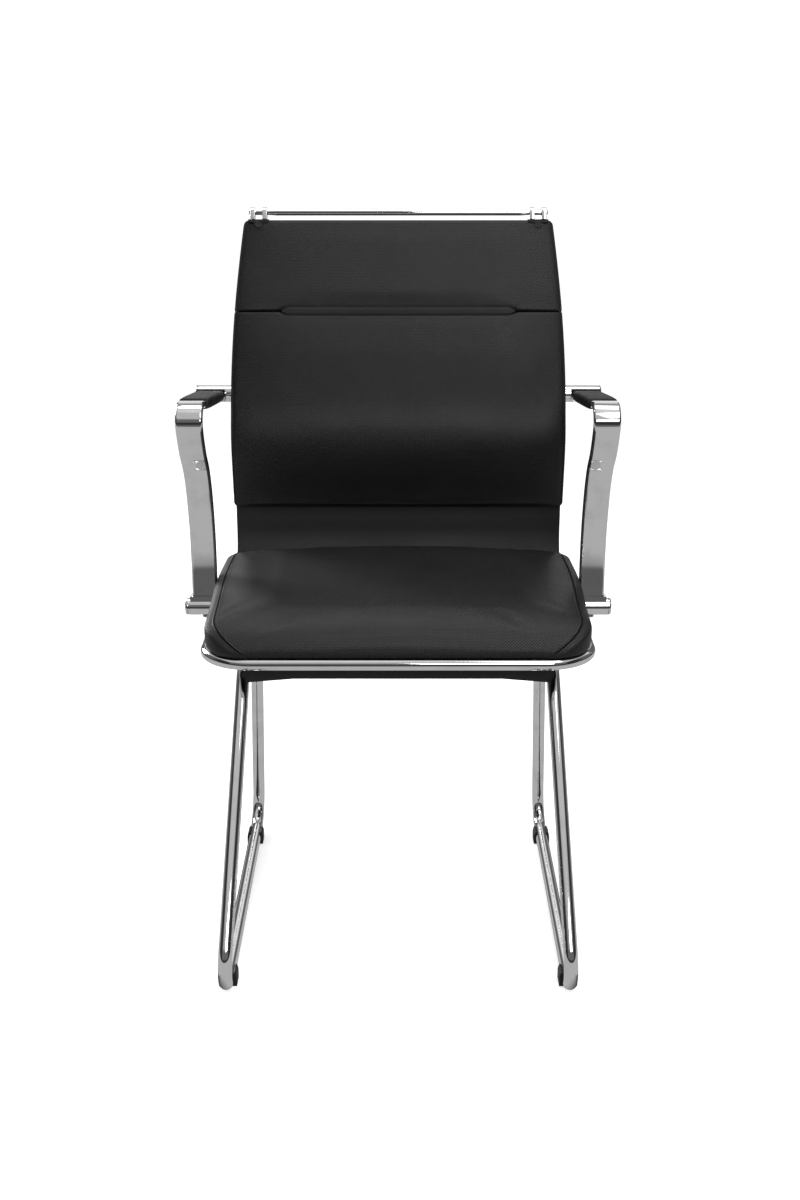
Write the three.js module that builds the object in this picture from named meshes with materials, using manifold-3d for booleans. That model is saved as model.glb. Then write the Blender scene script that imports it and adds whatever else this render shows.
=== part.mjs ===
// Sled base visitor chair, in millimetres, +Z up. The sitter faces -Y and +X is at the camera's right.
// The origin is the middle of the footprint, on the floor. Y values count back from the front foot
// until the last lines, where the whole chair is centred.
import * as THREE from 'three';
import { mergeVertices } from 'three/addons/utils/BufferGeometryUtils.js';
import Module from 'manifold-3d';

const wasm = await Module();
wasm.setup();

// Driving dimensions shared by many pieces
const fitGap = 0.3;
const cutOverrun = 5;
const sides = [['left', -1], ['right', 1]];

// Sled frames: one closed loop of round tube at each side
const sled = {
  tubeRadius: 9,
  wall: 1.5,
  sideInset: 46.5,
  footSplay: 14.8,
  frontFootY: -76,
  rearFootY: 503,
  frontTopY: 174,
  rearTopY: 376,
  topLevel: 375,
  bendRadius: 38,
  buttGap: 0.6,
  plugHalfLength: 22,
};

// Clip-on floor glides
const glide = { wall: 2.4, length: 24, foot: 3, bendOffset: 2, mouthHalfWidth: 7 };

// Seat frame: a U of round tube whose front run shows under the cushion
const seatFrame = {
  tubeRadius: 8,
  wall: 1.5,
  halfWidth: 251,
  frontY: 98.5,
  level: 404.6,
  bendRadius: 62,
};

// Cross tubes behind the back and under the seat
const crossTube = { radius: 12.5, wall: 2, capLength: 4, capBoss: 12, capRound: 3, copeDepth: 9.5 };
const lowerTube = { y: 358.8, level: 401.7, overhang: 28.5 };
const upperTube = { level: 681.5, overhang: 23.5 };

// Moulded shell that runs from the seat's front edge to the top of the back
const shell = {
  thickness: 9,
  frontY: 112,
  heelStartY: 425,
  heelY: 503.5,
  heelLevel: 486,
  waistY: 506.5,
  waistLevel: 528,
  lumbarY: 491.5,
  lumbarLevel: 616,
  bladeY: 504.5,
  bladeLevel: 664,
  shoulderY: 530.5,
  shoulderLevel: 787,
  topY: 574.5,
  topLevel: 921,
  seatInset: 11,
  backInset: 9.2,
  topDrawIn: 20.3,
  taperPower: 1.7,
  cornerRadius: 14,
  frontCornerRadius: 48,
  stationStep: 18,
};

// Back upholstery
const pad = {
  thickness: 13,
  crown: 3,
  crownReach: 5,
  edgeFold: 6,
  overhang: 2,
  edgeRound: 5,
  bottomLevel: 521,
  seamLevel: 795,
  seamGap: 1,
  seamCorner: 2.5,
  topCorner: 12,
  topInset: 1.5,
};
const seamStrip = { sideInset: 69.8, halfHeight: 6.5, pointLength: 11, floor: 9, face: 15.5 };

// Seat cushion
const cushion = {
  sideOverhang: 1.5,
  frontY: 94,
  rearY: 489,
  sideLevel: 456,
  crown: 9,
  waterfallLength: 92,
  noseLevel: 430,
  rearRoll: 40,
  rearDrop: 14,
  frontCorner: 46,
  rearCorner: 60,
  rearInset: 14,
  sideDrawIn: 5,
  bulgeShare: 0.3,
};

// Black steel cross plates that tie the sled frames and carry the shell
const plate = {
  sheet: 3,
  frontY: 158,
  rearY: 318,
  flange: 34,
  flareReach: 67.5,
  flatBottom: 363.5,
  flareBottom: 358,
  rearBottom: 368,
  innerScrewX: 60,
  outerScrewInset: 54.5,
};

// Arms: a flat chrome strap from the lower cross tube over a nose to the upper cross tube
const arm = {
  width: 36,
  thickness: 10,
  edgeRound: 3.4,
  sideGap: 23.5,
  noseY: 247,
  noseRadius: 22,
  topLevel: 712,
  screwBite: 14,
};
// Places down the arm's S curve, as shares of its reach back and of its height
const armCurveShares = [
  [1, 0], [1, 0.173], [0.95, 0.35], [0.81, 0.532], [0.7, 0.628], [0.525, 0.731], [0.247, 0.838], [0, 1],
];
const armPad = { wall: 2, startY: 307, endY: 500, edgeRound: 5, hem: 1.2 };
const saddle = { width: 42, spread: 18, rise: 4, hugShare: 0.75 };

// Handle rail on four bent bands above the back
const handle = {
  railRadius: 4.7,
  neckRadius: 3.9,
  sideInset: 4.5,
  neckLength: 29,
  neckTaper: 12,
  rise: 11.4,
  bandWidth: 6.7,
  bandThickness: 3,
  innerBandInset: 23.3,
  outerBandInset: 6,
  tongueWidth: 12,
  tongueDrop: 12,
  barDrop: 3.5,
  barMargin: 3,
  screwDrop: 6.5,
};

// Pipe clamps and their screws
const clamp = { width: 22, sheet: 2.5, foot: 15, lowerInset: 86.5, upperInset: 71.5 };
const screw = { radius: 2.5, headRadius: 4.8, headHeight: 3.2, headChamfer: 1, bite: 7 };
const tab = { length: 30, innerInset: 37, screwInset: 25, sheet: 3, rearY: 300, frontY: 176 };

// Half widths that follow from the seat frame's
const sledTopHalf = seatFrame.halfWidth - sled.sideInset;
const sledFootHalf = sledTopHalf + sled.footSplay;
const cushionSideHalf = seatFrame.halfWidth + cushion.sideOverhang;
const shellSeatHalf = seatFrame.halfWidth - shell.seatInset;
const shellBackHalf = seatFrame.halfWidth - shell.backInset;
const shellTopHalf = shellBackHalf - shell.topDrawIn;
const seamHalfLength = shellBackHalf - seamStrip.sideInset;
const armCentreX = seatFrame.halfWidth + arm.sideGap;
const lowerTubeHalf = armCentreX + lowerTube.overhang;
const upperTubeHalf = armCentreX + upperTube.overhang;
const railHalf = shellTopHalf - handle.sideInset;
const innerBandX = railHalf - handle.innerBandInset;
const outerBandX = railHalf - handle.outerBandInset;

// Basic solids and helpers

function meshOf(rings, capStart, capEnd) {
  const positions = [];
  const index = [];
  const count = rings[0].length;
  rings.forEach((ring) => ring.forEach((p) => positions.push(p.x, p.y, p.z)));
  for (let row = 0; row + 1 < rings.length; row += 1) {
    for (let k = 0; k < count; k += 1) {
      const a = row * count + k;
      const b = row * count + ((k + 1) % count);
      index.push(a, b, b + count, a, b + count, a + count);
    }
  }
  const addCap = (row, flip) => {
    const centre = new THREE.Vector3();
    rings[row].forEach((p) => centre.addScaledVector(p, 1 / count));
    const middle = positions.length / 3;
    positions.push(centre.x, centre.y, centre.z);
    for (let k = 0; k < count; k += 1) {
      const a = row * count + k;
      const b = row * count + ((k + 1) % count);
      index.push(...(flip ? [middle, b, a] : [middle, a, b]));
    }
  };
  if (capStart) addCap(0, true);
  if (capEnd) addCap(rings.length - 1, false);
  const geometry = new THREE.BufferGeometry();
  geometry.setAttribute('position', new THREE.Float32BufferAttribute(positions, 3));
  geometry.setIndex(index);
  return geometry;
}

// Six times the signed volume tells whether the faces point out
function facesOut(geometry) {
  const p = geometry.attributes.position;
  const list = geometry.index;
  const [a, b, c] = [0, 1, 2].map(() => new THREE.Vector3());
  let volume = 0;
  for (let i = 0; i < list.count; i += 3) {
    a.fromBufferAttribute(p, list.getX(i));
    b.fromBufferAttribute(p, list.getX(i + 1));
    c.fromBufferAttribute(p, list.getX(i + 2));
    volume += a.dot(b.cross(c));
  }
  return volume > 0;
}

function orient(geometry) {
  if (!facesOut(geometry)) {
    const list = geometry.index.array;
    for (let i = 0; i < list.length; i += 3) {
      [list[i + 1], list[i + 2]] = [list[i + 2], list[i + 1]];
    }
  }
  return geometry;
}

// A closed solid through a row of rings that have the same number of points
function loft(rings) {
  return orient(meshOf(rings, true, true));
}

function toSolid(source) {
  let geometry = source.clone();
  geometry.deleteAttribute('normal');
  geometry.deleteAttribute('uv');
  geometry = mergeVertices(geometry);
  const triangles = [];
  for (let i = 0; i < geometry.index.count; i += 3) {
    const [a, b, c] = geometry.index.array.slice(i, i + 3);
    if (a !== b && b !== c && c !== a) triangles.push(a, b, c);
  }
  return new wasm.Manifold(new wasm.Mesh({
    numProp: 3,
    vertProperties: new Float32Array(geometry.attributes.position.array),
    triVerts: new Uint32Array(triangles),
  }));
}

function toGeometry(solid) {
  const mesh = solid.getMesh();
  const geometry = new THREE.BufferGeometry();
  geometry.setAttribute('position', new THREE.BufferAttribute(new Float32Array(mesh.vertProperties), 3));
  geometry.setIndex(new THREE.BufferAttribute(new Uint32Array(mesh.triVerts), 1));
  geometry.computeVertexNormals();
  return geometry;
}

function cut(geometry, tools) {
  return toGeometry(tools.reduce((rest, tool) => rest.subtract(toSolid(tool)), toSolid(geometry)));
}

function join(geometries) {
  return toGeometry(geometries.map(toSolid).reduce((sum, next) => sum.add(next)));
}

function box(width, depth, height, x, y, z) {
  return new THREE.BoxGeometry(width, depth, height).translate(x, y, z);
}

// A cylinder whose axis is X, Y or Z
function rod(radius, length, axis, x, y, z, facets) {
  const geometry = new THREE.CylinderGeometry(radius, radius, length, facets);
  if (axis === 'x') geometry.rotateZ(Math.PI / 2);
  if (axis === 'z') geometry.rotateX(Math.PI / 2);
  return geometry.translate(x, y, z);
}

// A Lathe profile of [radius, place along X] turned about the X axis
function turnedX(profile, x, y, z, facets) {
  const points = profile.map(([radius, along]) => new THREE.Vector2(radius, along));
  return new THREE.LatheGeometry(points, facets).rotateZ(-Math.PI / 2).translate(x, y, z);
}

// An outline of [y, z] points extruded along X about a middle place
function prismX(outline, width, x) {
  const shape = new THREE.Shape(outline.map(([y, z]) => new THREE.Vector2(y, z)));
  const geometry = new THREE.ExtrudeGeometry(shape, { depth: width, bevelEnabled: false });
  return geometry.rotateZ(Math.PI / 2).rotateY(Math.PI / 2).translate(x - width / 2, 0, 0);
}

// An outline of [x, z] points extruded along Y from a starting place
function prismY(outline, depth, y) {
  const shape = new THREE.Shape(outline.map(([x, z]) => new THREE.Vector2(x, z)));
  const geometry = new THREE.ExtrudeGeometry(shape, { depth, bevelEnabled: false });
  return geometry.rotateX(Math.PI / 2).translate(0, y + depth, 0);
}

// Stations along a flat path whose corners are rounded: each holds a place and a direction
function filletedPath(corners, radius, steps) {
  const stations = [];
  const add = (point, direction) => stations.push({ point, direction });
  const heading = (from, to) => to.clone().sub(from).normalize();
  add(corners[0], heading(corners[0], corners[1]));
  for (let i = 1; i + 1 < corners.length; i += 1) {
    const before = heading(corners[i - 1], corners[i]);
    const after = heading(corners[i], corners[i + 1]);
    const turn = before.angleTo(after);
    const start = corners[i].clone().addScaledVector(before, -radius * Math.tan(turn / 2));
    const axis = before.clone().cross(after).normalize();
    const toCentre = axis.clone().cross(before);
    const centre = start.clone().addScaledVector(toCentre, radius);
    for (let k = 0; k <= steps; k += 1) {
      const angle = (turn * k) / steps;
      const spoke = toCentre.clone().negate().applyAxisAngle(axis, angle);
      add(centre.clone().addScaledVector(spoke, radius), before.clone().applyAxisAngle(axis, angle));
    }
  }
  const last = corners.length - 1;
  add(corners[last], heading(corners[last - 1], corners[last]));
  return stations;
}

// A ring of points round a station, from an outline of [across, up] pairs
function ringAt({ point, direction }, across, outline) {
  const up = direction.clone().cross(across).normalize();
  return outline.map(([a, b]) => point.clone().addScaledVector(across, a).addScaledVector(up, b));
}

// Even angles from one to another, both included
function arcAngles(from, to, steps) {
  return Array.from({ length: steps + 1 }, (_, k) => THREE.MathUtils.lerp(from, to, k / steps));
}

function circle(radius, facets) {
  return Array.from({ length: facets }, (_, k) => {
    const angle = (2 * Math.PI * k) / facets;
    return [radius * Math.cos(angle), radius * Math.sin(angle)];
  });
}

// Walls between two sweeps that share their stations, closed by flat end faces
function hollowLoft(outerRings, innerRings) {
  const loop = [...outerRings, ...innerRings.slice().reverse(), outerRings[0]];
  return orient(meshOf(loop, false, false));
}

function tubeAlong(stations, across, radius, wall, facets) {
  const outer = stations.map((station) => ringAt(station, across, circle(radius, facets)));
  const inner = stations.map((station) => ringAt(station, across, circle(radius - wall, facets)));
  return toGeometry(toSolid(hollowLoft(outer, inner)));
}

function rodAlong(stations, across, radius, facets) {
  return loft(stations.map((station) => ringAt(station, across, circle(radius, facets))));
}

const parts = new THREE.Group();

function finish(name, geometry, { colour, roughness, metalness }) {
  const material = new THREE.MeshStandardMaterial({ color: colour, roughness, metalness });
  const mesh = new THREE.Mesh(geometry, material);
  mesh.name = name;
  parts.add(mesh);
}

const chrome = { colour: 0xd9d9db, roughness: 0.08, metalness: 1 };
const leather = { colour: 0x2b2b2b, roughness: 0.5, metalness: 0 };
const blackSteel = { colour: 0x101010, roughness: 0.45, metalness: 0.3 };
const plastic = { colour: 0x0c0c0c, roughness: 0.4, metalness: 0 };
const zincSteel = { colour: 0x8d8f90, roughness: 0.35, metalness: 1 };

// Sled frames: each lies in a plane that leans in towards the seat
const sledFloor = glide.foot + sled.tubeRadius;

function sledX(level, side) {
  const share = (level - sledFloor) / (sled.topLevel - sledFloor);
  return side * THREE.MathUtils.lerp(sledFootHalf, sledTopHalf, share);
}

function sledCorner(y, level, side) {
  return new THREE.Vector3(sledX(level, side), y, level);
}

function sledStations(side) {
  const butt = (sled.frontTopY + sled.rearTopY) / 2;
  const corners = [
    sledCorner(butt - sled.buttGap / 2, sled.topLevel, side),
    sledCorner(sled.frontTopY, sled.topLevel, side),
    sledCorner(sled.frontFootY, sledFloor, side),
    sledCorner(sled.rearFootY, sledFloor, side),
    sledCorner(sled.rearTopY, sled.topLevel, side),
    sledCorner(butt + sled.buttGap / 2, sled.topLevel, side),
  ];
  const inLeg = corners[2].clone().sub(corners[1]);
  const across = inLeg.cross(corners[3].clone().sub(corners[2])).normalize();
  return { stations: filletedPath(corners, sled.bendRadius, 5), across };
}

// The sled as a solid bar, grown by a clearance, to cut what meets it
function sledBar(side, growth) {
  const { stations, across } = sledStations(side);
  return rodAlong(stations, across, sled.tubeRadius + growth, 12);
}

function addSled() {
  sides.forEach(([name, side]) => {
    const { stations, across } = sledStations(side);
    finish(`sled_tube_${name}`, tubeAlong(stations, across, sled.tubeRadius, sled.wall, 12), chrome);
    const butt = (sled.frontTopY + sled.rearTopY) / 2;
    const radius = sled.tubeRadius - sled.wall - 2 * fitGap;
    const plug = rod(radius, 2 * sled.plugHalfLength, 'y', sledX(sled.topLevel, side), butt, sled.topLevel, 12);
    finish(`sled_joint_plug_${name}`, plug, zincSteel);
  });
}

// A clip that hugs the floor rail from below and stands on its flat foot
function glideGeometry(x, y) {
  const inner = sled.tubeRadius + fitGap;
  const outer = inner + glide.wall;
  const mouth = Math.acos(glide.mouthHalfWidth / inner);
  const arc = (radius, from, to, steps) => arcAngles(from, to, steps)
    .map((angle) => [x + radius * Math.cos(angle), sledFloor + radius * Math.sin(angle)]);
  const outline = [
    ...arc(inner, mouth, -Math.PI - mouth, 10),
    ...arc(outer, -Math.PI - mouth, -Math.PI, 3),
    [x - outer, 0],
    [x + outer, 0],
    ...arc(outer, 0, mouth, 3),
  ];
  return prismY(outline, glide.length, y - glide.length / 2);
}

// How far a bend reaches along the floor rail from the corner of its leg
function bendReach(footY, topY) {
  const rise = sled.topLevel - sledFloor;
  const legAngle = Math.atan2(rise, Math.abs(topY - footY));
  return sled.bendRadius / Math.tan(legAngle / 2);
}

function addGlides() {
  const half = glide.length / 2 + glide.bendOffset;
  const frontY = sled.frontFootY + bendReach(sled.frontFootY, sled.frontTopY) + half;
  const rearY = sled.rearFootY - bendReach(sled.rearFootY, sled.rearTopY) - half;
  sides.forEach(([name, side]) => {
    finish(`glide_front_${name}`, glideGeometry(side * sledFootHalf, frontY), plastic);
    finish(`glide_rear_${name}`, glideGeometry(side * sledFootHalf, rearY), plastic);
  });
}

// Screws: a place holds the point where the head seats, the way in and the depth
function alongY(geometry, { point, way }) {
  const turn = new THREE.Quaternion().setFromUnitVectors(new THREE.Vector3(0, 1, 0), way);
  return geometry.applyQuaternion(turn).translate(point.x, point.y, point.z);
}

function screwSolid(place) {
  const { radius, headRadius, headHeight, headChamfer } = screw;
  const top = -fitGap - headHeight;
  const profile = [
    [0, top], [headRadius - headChamfer, top], [headRadius, top + headChamfer],
    [headRadius, -fitGap], [radius, -fitGap], [radius, place.depth], [0, place.depth],
  ];
  const points = profile.map(([r, along]) => new THREE.Vector2(r, along));
  return alongY(new THREE.LatheGeometry(points, 8), place);
}

function holeSolid(place) {
  const length = place.depth + fitGap + cutOverrun;
  const hole = new THREE.CylinderGeometry(screw.radius + fitGap, screw.radius + fitGap, length, 8);
  return alongY(hole.translate(0, length / 2 - cutOverrun, 0), place);
}

// Cross tubes, their end caps and the clamps that hold them to the shell
const lowerPlace = new THREE.Vector3(0, lowerTube.y, lowerTube.level);

function crossTubeGeometry(place, halfLength, holes) {
  const half = halfLength - crossTube.capLength - fitGap;
  const bore = crossTube.radius - crossTube.wall;
  const profile = [
    [crossTube.radius, -half], [crossTube.radius, half], [bore, half], [bore, -half],
    [crossTube.radius, -half],
  ];
  return cut(turnedX(profile, 0, place.y, place.z, 20), holes.map(holeSolid));
}

function crossCapGeometry(place, halfLength, side) {
  const { radius, wall, capLength, capBoss, capRound } = crossTube;
  const boss = radius - wall - fitGap;
  const inner = halfLength - capLength;
  const profile = [
    [0, inner - capBoss], [boss, inner - capBoss], [boss, inner], [radius, inner],
    [radius, halfLength - capRound],
    [radius - capRound * (1 - Math.SQRT1_2), halfLength - capRound * (1 - Math.SQRT1_2)],
    [radius - capRound, halfLength], [0, halfLength],
  ];
  const cap = turnedX(profile, 0, 0, 0, 20);
  if (side < 0) cap.rotateZ(Math.PI);
  return cap.translate(0, place.y, place.z);
}

// An omega of sheet round a cross tube: up points from the tube's centre to the shell
function clampGeometry(place, up, x) {
  const inner = crossTube.radius + fitGap;
  const outer = inner + clamp.sheet;
  const reach = outer + clamp.foot;
  const seat = crossTube.radius;
  const arc = (radius, from, to) => arcAngles(from, to, 8)
    .map((angle) => [radius * Math.cos(angle), radius * Math.sin(angle)]);
  const outline = [
    [inner, seat], ...arc(inner, 0, -Math.PI), [-inner, seat], [-reach, seat], [-reach, seat - clamp.sheet],
    [-outer, seat - clamp.sheet], ...arc(outer, -Math.PI, 0), [outer, seat - clamp.sheet],
    [reach, seat - clamp.sheet], [reach, seat],
  ];
  const along = new THREE.Vector2(up.z, -up.y);
  const points = outline.map(([a, b]) => [
    place.y + a * along.x + b * up.y,
    place.z + a * along.y + b * up.z,
  ]);
  return prismX(points, clamp.width, x);
}

function clampScrewPlaces(place, up, x) {
  const along = new THREE.Vector3(0, up.z, -up.y);
  const reach = crossTube.radius + fitGap + clamp.sheet + clamp.foot / 2;
  return [-1, 1].map((end) => ({
    point: place.clone().setX(x).addScaledVector(along, end * reach)
      .addScaledVector(up, crossTube.radius - clamp.sheet),
    way: up.clone(),
    depth: clamp.sheet + fitGap + screw.bite,
  }));
}

// The shell's middle line in the YZ plane: level seat, tight heel, forward lumbar, leaning top
const shellUnderside = lowerTube.level + crossTube.radius + fitGap;
const seatLine = shellUnderside + shell.thickness / 2;
const heelTension = 0.62;

function linePoint(y, level) {
  return new THREE.Vector3(0, y, level);
}

function shellCurve() {
  const rise = shell.heelLevel - seatLine;
  const run = shell.heelY - shell.heelStartY;
  const heelStart = linePoint(shell.heelStartY, seatLine);
  const heelEnd = linePoint(shell.heelY, shell.heelLevel);
  const curve = new THREE.CurvePath();
  curve.add(new THREE.LineCurve3(linePoint(shell.frontY, seatLine), heelStart));
  curve.add(new THREE.CubicBezierCurve3(
    heelStart,
    linePoint(shell.heelStartY + heelTension * run, seatLine),
    linePoint(shell.heelY, shell.heelLevel - heelTension * rise),
    heelEnd,
  ));
  curve.add(new THREE.CatmullRomCurve3([
    heelEnd,
    linePoint(shell.waistY, shell.waistLevel),
    linePoint(shell.lumbarY, shell.lumbarLevel),
    linePoint(shell.bladeY, shell.bladeLevel),
    linePoint(shell.shoulderY, shell.shoulderLevel),
    linePoint(shell.topY, shell.topLevel),
  ]));
  return curve;
}

// Stations at even steps; the normal points towards the sitter
const shellPath = shellCurve();
const shellLength = shellPath.getLength();

function measureStations() {
  const steps = Math.round(shellLength / shell.stationStep);
  return Array.from({ length: steps + 1 }, (_, k) => {
    const share = k / steps;
    const point = shellPath.getPointAt(share);
    const way = shellPath.getTangentAt(share);
    return { along: share * shellLength, point, normal: new THREE.Vector3(0, -way.z, way.y) };
  });
}

const masterStations = measureStations();

// Places between two master stations lie straight between them, so nested pieces never meet
function stationAt(along) {
  const last = masterStations.length - 1;
  const found = masterStations.findIndex((station) => station.along > along);
  const next = found < 0 ? last : Math.max(found, 1);
  const [a, b] = [masterStations[next - 1], masterStations[next]];
  const share = THREE.MathUtils.clamp((along - a.along) / (b.along - a.along), 0, 1);
  return { along, point: a.point.clone().lerp(b.point, share), normal: a.normal.clone().lerp(b.normal, share) };
}

// The distance along the shell where its back part reaches a level
function alongAtLevel(level) {
  let low = shellLength / 2;
  let high = shellLength;
  for (let i = 0; i < 40; i += 1) {
    const middle = (low + high) / 2;
    if (stationAt(middle).point.z < level) low = middle;
    else high = middle;
  }
  return low;
}

function stationsBetween(from, to, extras = []) {
  const inside = masterStations.map((station) => station.along).filter((s) => s > from && s < to);
  const all = [from, ...inside, ...extras, to].sort((a, b) => a - b);
  const spaced = all.filter((s, i) => i === 0 || s - all[i - 1] > fitGap);
  return spaced.map(stationAt);
}

// How far a rounded corner of a given radius draws an edge in, at a distance from its end
function cornerInset(distance, radius) {
  if (distance >= radius) return 0;
  return radius - Math.sqrt(radius ** 2 - (radius - Math.max(distance, 0)) ** 2);
}

const cornerShares = [0.04, 0.16, 0.36, 0.65, 1];

function shellHalfWidth(station) {
  const { bladeLevel, topLevel, topDrawIn, taperPower } = shell;
  const lift = THREE.MathUtils.clamp((station.point.z - seatLine) / (bladeLevel - seatLine), 0, 1);
  const share = Math.max(0, (station.point.z - bladeLevel) / (topLevel - bladeLevel));
  const low = THREE.MathUtils.lerp(shellSeatHalf, shellBackHalf, Math.min(1, 2 * lift));
  return low - topDrawIn * share ** taperPower;
}

function shellPoint(station, x, offset) {
  return station.point.clone().addScaledVector(station.normal, offset).setX(x);
}

// A board along the shell's line between two offsets from it, with its corners rounded
function board(stations, halfWidthOf, frontOffset, backOffset) {
  return loft(stations.map((station) => {
    const half = halfWidthOf(station);
    return [[-half, backOffset], [half, backOffset], [half, frontOffset], [-half, frontOffset]]
      .map(([x, offset]) => shellPoint(station, x, offset));
  }));
}

function shellOutlineHalf(station) {
  const fromFront = cornerInset(station.along, shell.frontCornerRadius);
  const fromTop = cornerInset(shellLength - station.along, shell.cornerRadius);
  return shellHalfWidth(station) - fromFront - fromTop;
}

const frontMarks = cornerShares.map((share) => share * shell.frontCornerRadius);
const topMarks = cornerShares.map((share) => shellLength - share * shell.cornerRadius);
const shellStations = stationsBetween(0, shellLength, [...frontMarks, ...topMarks]);

function shellGeometry(holes) {
  const half = shell.thickness / 2;
  return cut(board(shellStations, shellOutlineHalf, half, -half), holes.map(holeSolid));
}

// The upper cross tube rests against the shell's rear face
const upperStation = stationAt(alongAtLevel(upperTube.level));
const upperUp = upperStation.normal.clone().normalize();
const upperPlace = upperStation.point.clone()
  .addScaledVector(upperUp, -(shell.thickness / 2 + fitGap + crossTube.radius));

// Back pads: a flat rear face on the shell and a crowned front with rolled edges
const padSeat = shell.thickness / 2 + fitGap;
const padPower = 7;

function padRing(station, half, thickness, crown) {
  const columns = 12;
  const front = Array.from({ length: columns + 1 }, (_, k) => {
    const across = Math.sin((Math.PI / 2) * ((2 * k) / columns - 1));
    const roll = Math.sqrt(Math.max(0, 1 - Math.abs(across) ** padPower));
    const offset = padSeat + pad.edgeFold + (thickness - pad.edgeFold) * roll + crown * (1 - across ** 2);
    return shellPoint(station, across * half, offset);
  });
  return [shellPoint(station, -half, padSeat), ...front, shellPoint(station, half, padSeat)];
}

function padGeometry(from, to, drawStart, drawEnd, tools) {
  const marks = cornerShares.flatMap((share) => [from + share * pad.edgeRound, to - share * pad.edgeRound]);
  const rings = stationsBetween(from, to, marks).map((station) => {
    const fromStart = station.along - from;
    const fromEnd = to - station.along;
    const fold = cornerInset(fromStart, pad.edgeRound) + cornerInset(fromEnd, pad.edgeRound);
    const corner = cornerInset(fromStart, drawStart) + cornerInset(fromEnd, drawEnd);
    const reach = Math.min(fromStart, fromEnd) / (to - from);
    const crown = pad.crown * Math.min(1, pad.crownReach * reach);
    const half = shellHalfWidth(station) + pad.overhang - corner;
    return padRing(station, half, pad.thickness - fold, crown);
  });
  return cut(loft(rings), tools);
}

// The pointed strip sewn into the seam, and the pocket that it sits in
const seamAlong = alongAtLevel(pad.seamLevel);

function seamStripGeometry(growth, bottom, top) {
  const { halfHeight, pointLength } = seamStrip;
  const place = stationAt(seamAlong);
  const normal = place.normal.clone().normalize();
  const up = new THREE.Vector3(0, normal.z, -normal.y);
  const [a, h] = [seamHalfLength + growth, halfHeight + growth];
  const outline = [
    [-a, 0], [-(a - pointLength), -h], [a - pointLength, -h], [a, 0], [a - pointLength, h],
    [-(a - pointLength), h],
  ];
  const ringAtOffset = (offset) => outline.map(([x, v]) => place.point.clone().setX(x)
    .addScaledVector(up, v).addScaledVector(normal, offset));
  return loft([ringAtOffset(bottom), ringAtOffset(top)]);
}

// Seat cushion: crowned, rolled over the front edge, with drawn-in lower sides
const cushionPower = 4;

function cushionTop(y) {
  const { frontY, rearY, waterfallLength, noseLevel, sideLevel, rearRoll, rearDrop } = cushion;
  const roll = Math.min(1, (y - frontY) / waterfallLength);
  const front = noseLevel + (sideLevel - noseLevel) * Math.sqrt(1 - (1 - roll) ** 2);
  const fall = Math.max(0, 1 - (rearY - y) / rearRoll);
  return front - rearDrop * fall ** 2;
}

function cushionHalf(y) {
  const { frontY, rearY, frontCorner, rearCorner, rearInset } = cushion;
  const rear = rearInset * Math.max(0, 1 - (rearY - y) / rearCorner) ** 2;
  return cushionSideHalf - cornerInset(y - frontY, frontCorner) - rear;
}

function cushionRing(y) {
  const half = cushionHalf(y);
  const height = cushionTop(y) - shellUnderside;
  const bulge = shellUnderside + cushion.bulgeShare * height;
  const swell = cushion.crown * Math.min(1, (y - cushion.frontY) / cushion.waterfallLength);
  const steps = 18;
  const arc = Array.from({ length: steps + 1 }, (_, k) => {
    const angle = (Math.PI * k) / steps;
    const across = Math.sign(Math.cos(angle)) * Math.abs(Math.cos(angle)) ** (2 / cushionPower);
    const lift = Math.sin(angle) ** (2 / cushionPower);
    const z = bulge + (height - cushion.bulgeShare * height) * lift + swell * (1 - across ** 2);
    return new THREE.Vector3(across * half, y, z);
  });
  const foot = half - cushion.sideDrawIn;
  return [new THREE.Vector3(foot, y, shellUnderside), ...arc, new THREE.Vector3(-foot, y, shellUnderside)];
}

function seatCushionGeometry() {
  const { frontY, rearY, waterfallLength } = cushion;
  const length = rearY - frontY;
  const nose = [0, 0.02, 0.07, 0.16, 0.3, 0.5, 0.75, 1].map((share) => frontY + share * waterfallLength);
  const body = [0.36, 0.5, 0.62, 0.74, 0.83, 0.9, 0.95, 0.98, 1].map((share) => frontY + share * length);
  const solid = loft([...nose, ...body].map(cushionRing));
  const clear = shell.thickness / 2 + fitGap;
  const deep = cushion.sideLevel - shellUnderside;
  const pocketHalf = (station) => shellOutlineHalf(station) + fitGap;
  const waist = alongAtLevel(shell.waistLevel);
  const stations = shellStations.filter(({ along }) => along < waist).map((station) => {
    const forward = station.along <= shell.frontCornerRadius ? fitGap : 0;
    return { ...station, point: station.point.clone().setY(station.point.y - forward) };
  });
  const heel = stationsBetween(shell.heelStartY - shell.frontY, waist);
  const wide = () => cushionSideHalf + cutOverrun;
  return cut(solid, [board(stations, pocketHalf, clear, -deep), board(heel, wide, 0, -deep)]);
}

// Steel cross plates: a web with a flange that the shell is screwed to
const flangeTop = shellUnderside - fitGap;
const flangeUnder = flangeTop - plate.sheet;

function plateGeometry(web, flangeStart, webStart, holes) {
  const half = sledTopHalf;
  const flange = box(2 * half, plate.flange, plate.sheet, 0, flangeStart + plate.flange / 2, flangeTop - plate.sheet / 2);
  const whole = join([prismY(web, plate.sheet, webStart), flange]);
  return cut(whole, [...holes.map(holeSolid), sledBar(-1, fitGap), sledBar(1, fitGap)]);
}

function frontPlateWeb() {
  const half = sledTopHalf;
  const flatHalf = half - plate.flareReach;
  const { flatBottom, flareBottom } = plate;
  return [
    [-half, flangeTop], [-half, flareBottom], [-flatHalf, flatBottom], [flatHalf, flatBottom],
    [half, flareBottom], [half, flangeTop],
  ];
}

function rearPlateWeb() {
  const half = sledTopHalf;
  return [[-half, flangeTop], [-half, plate.rearBottom], [half, plate.rearBottom], [half, flangeTop]];
}

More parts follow.
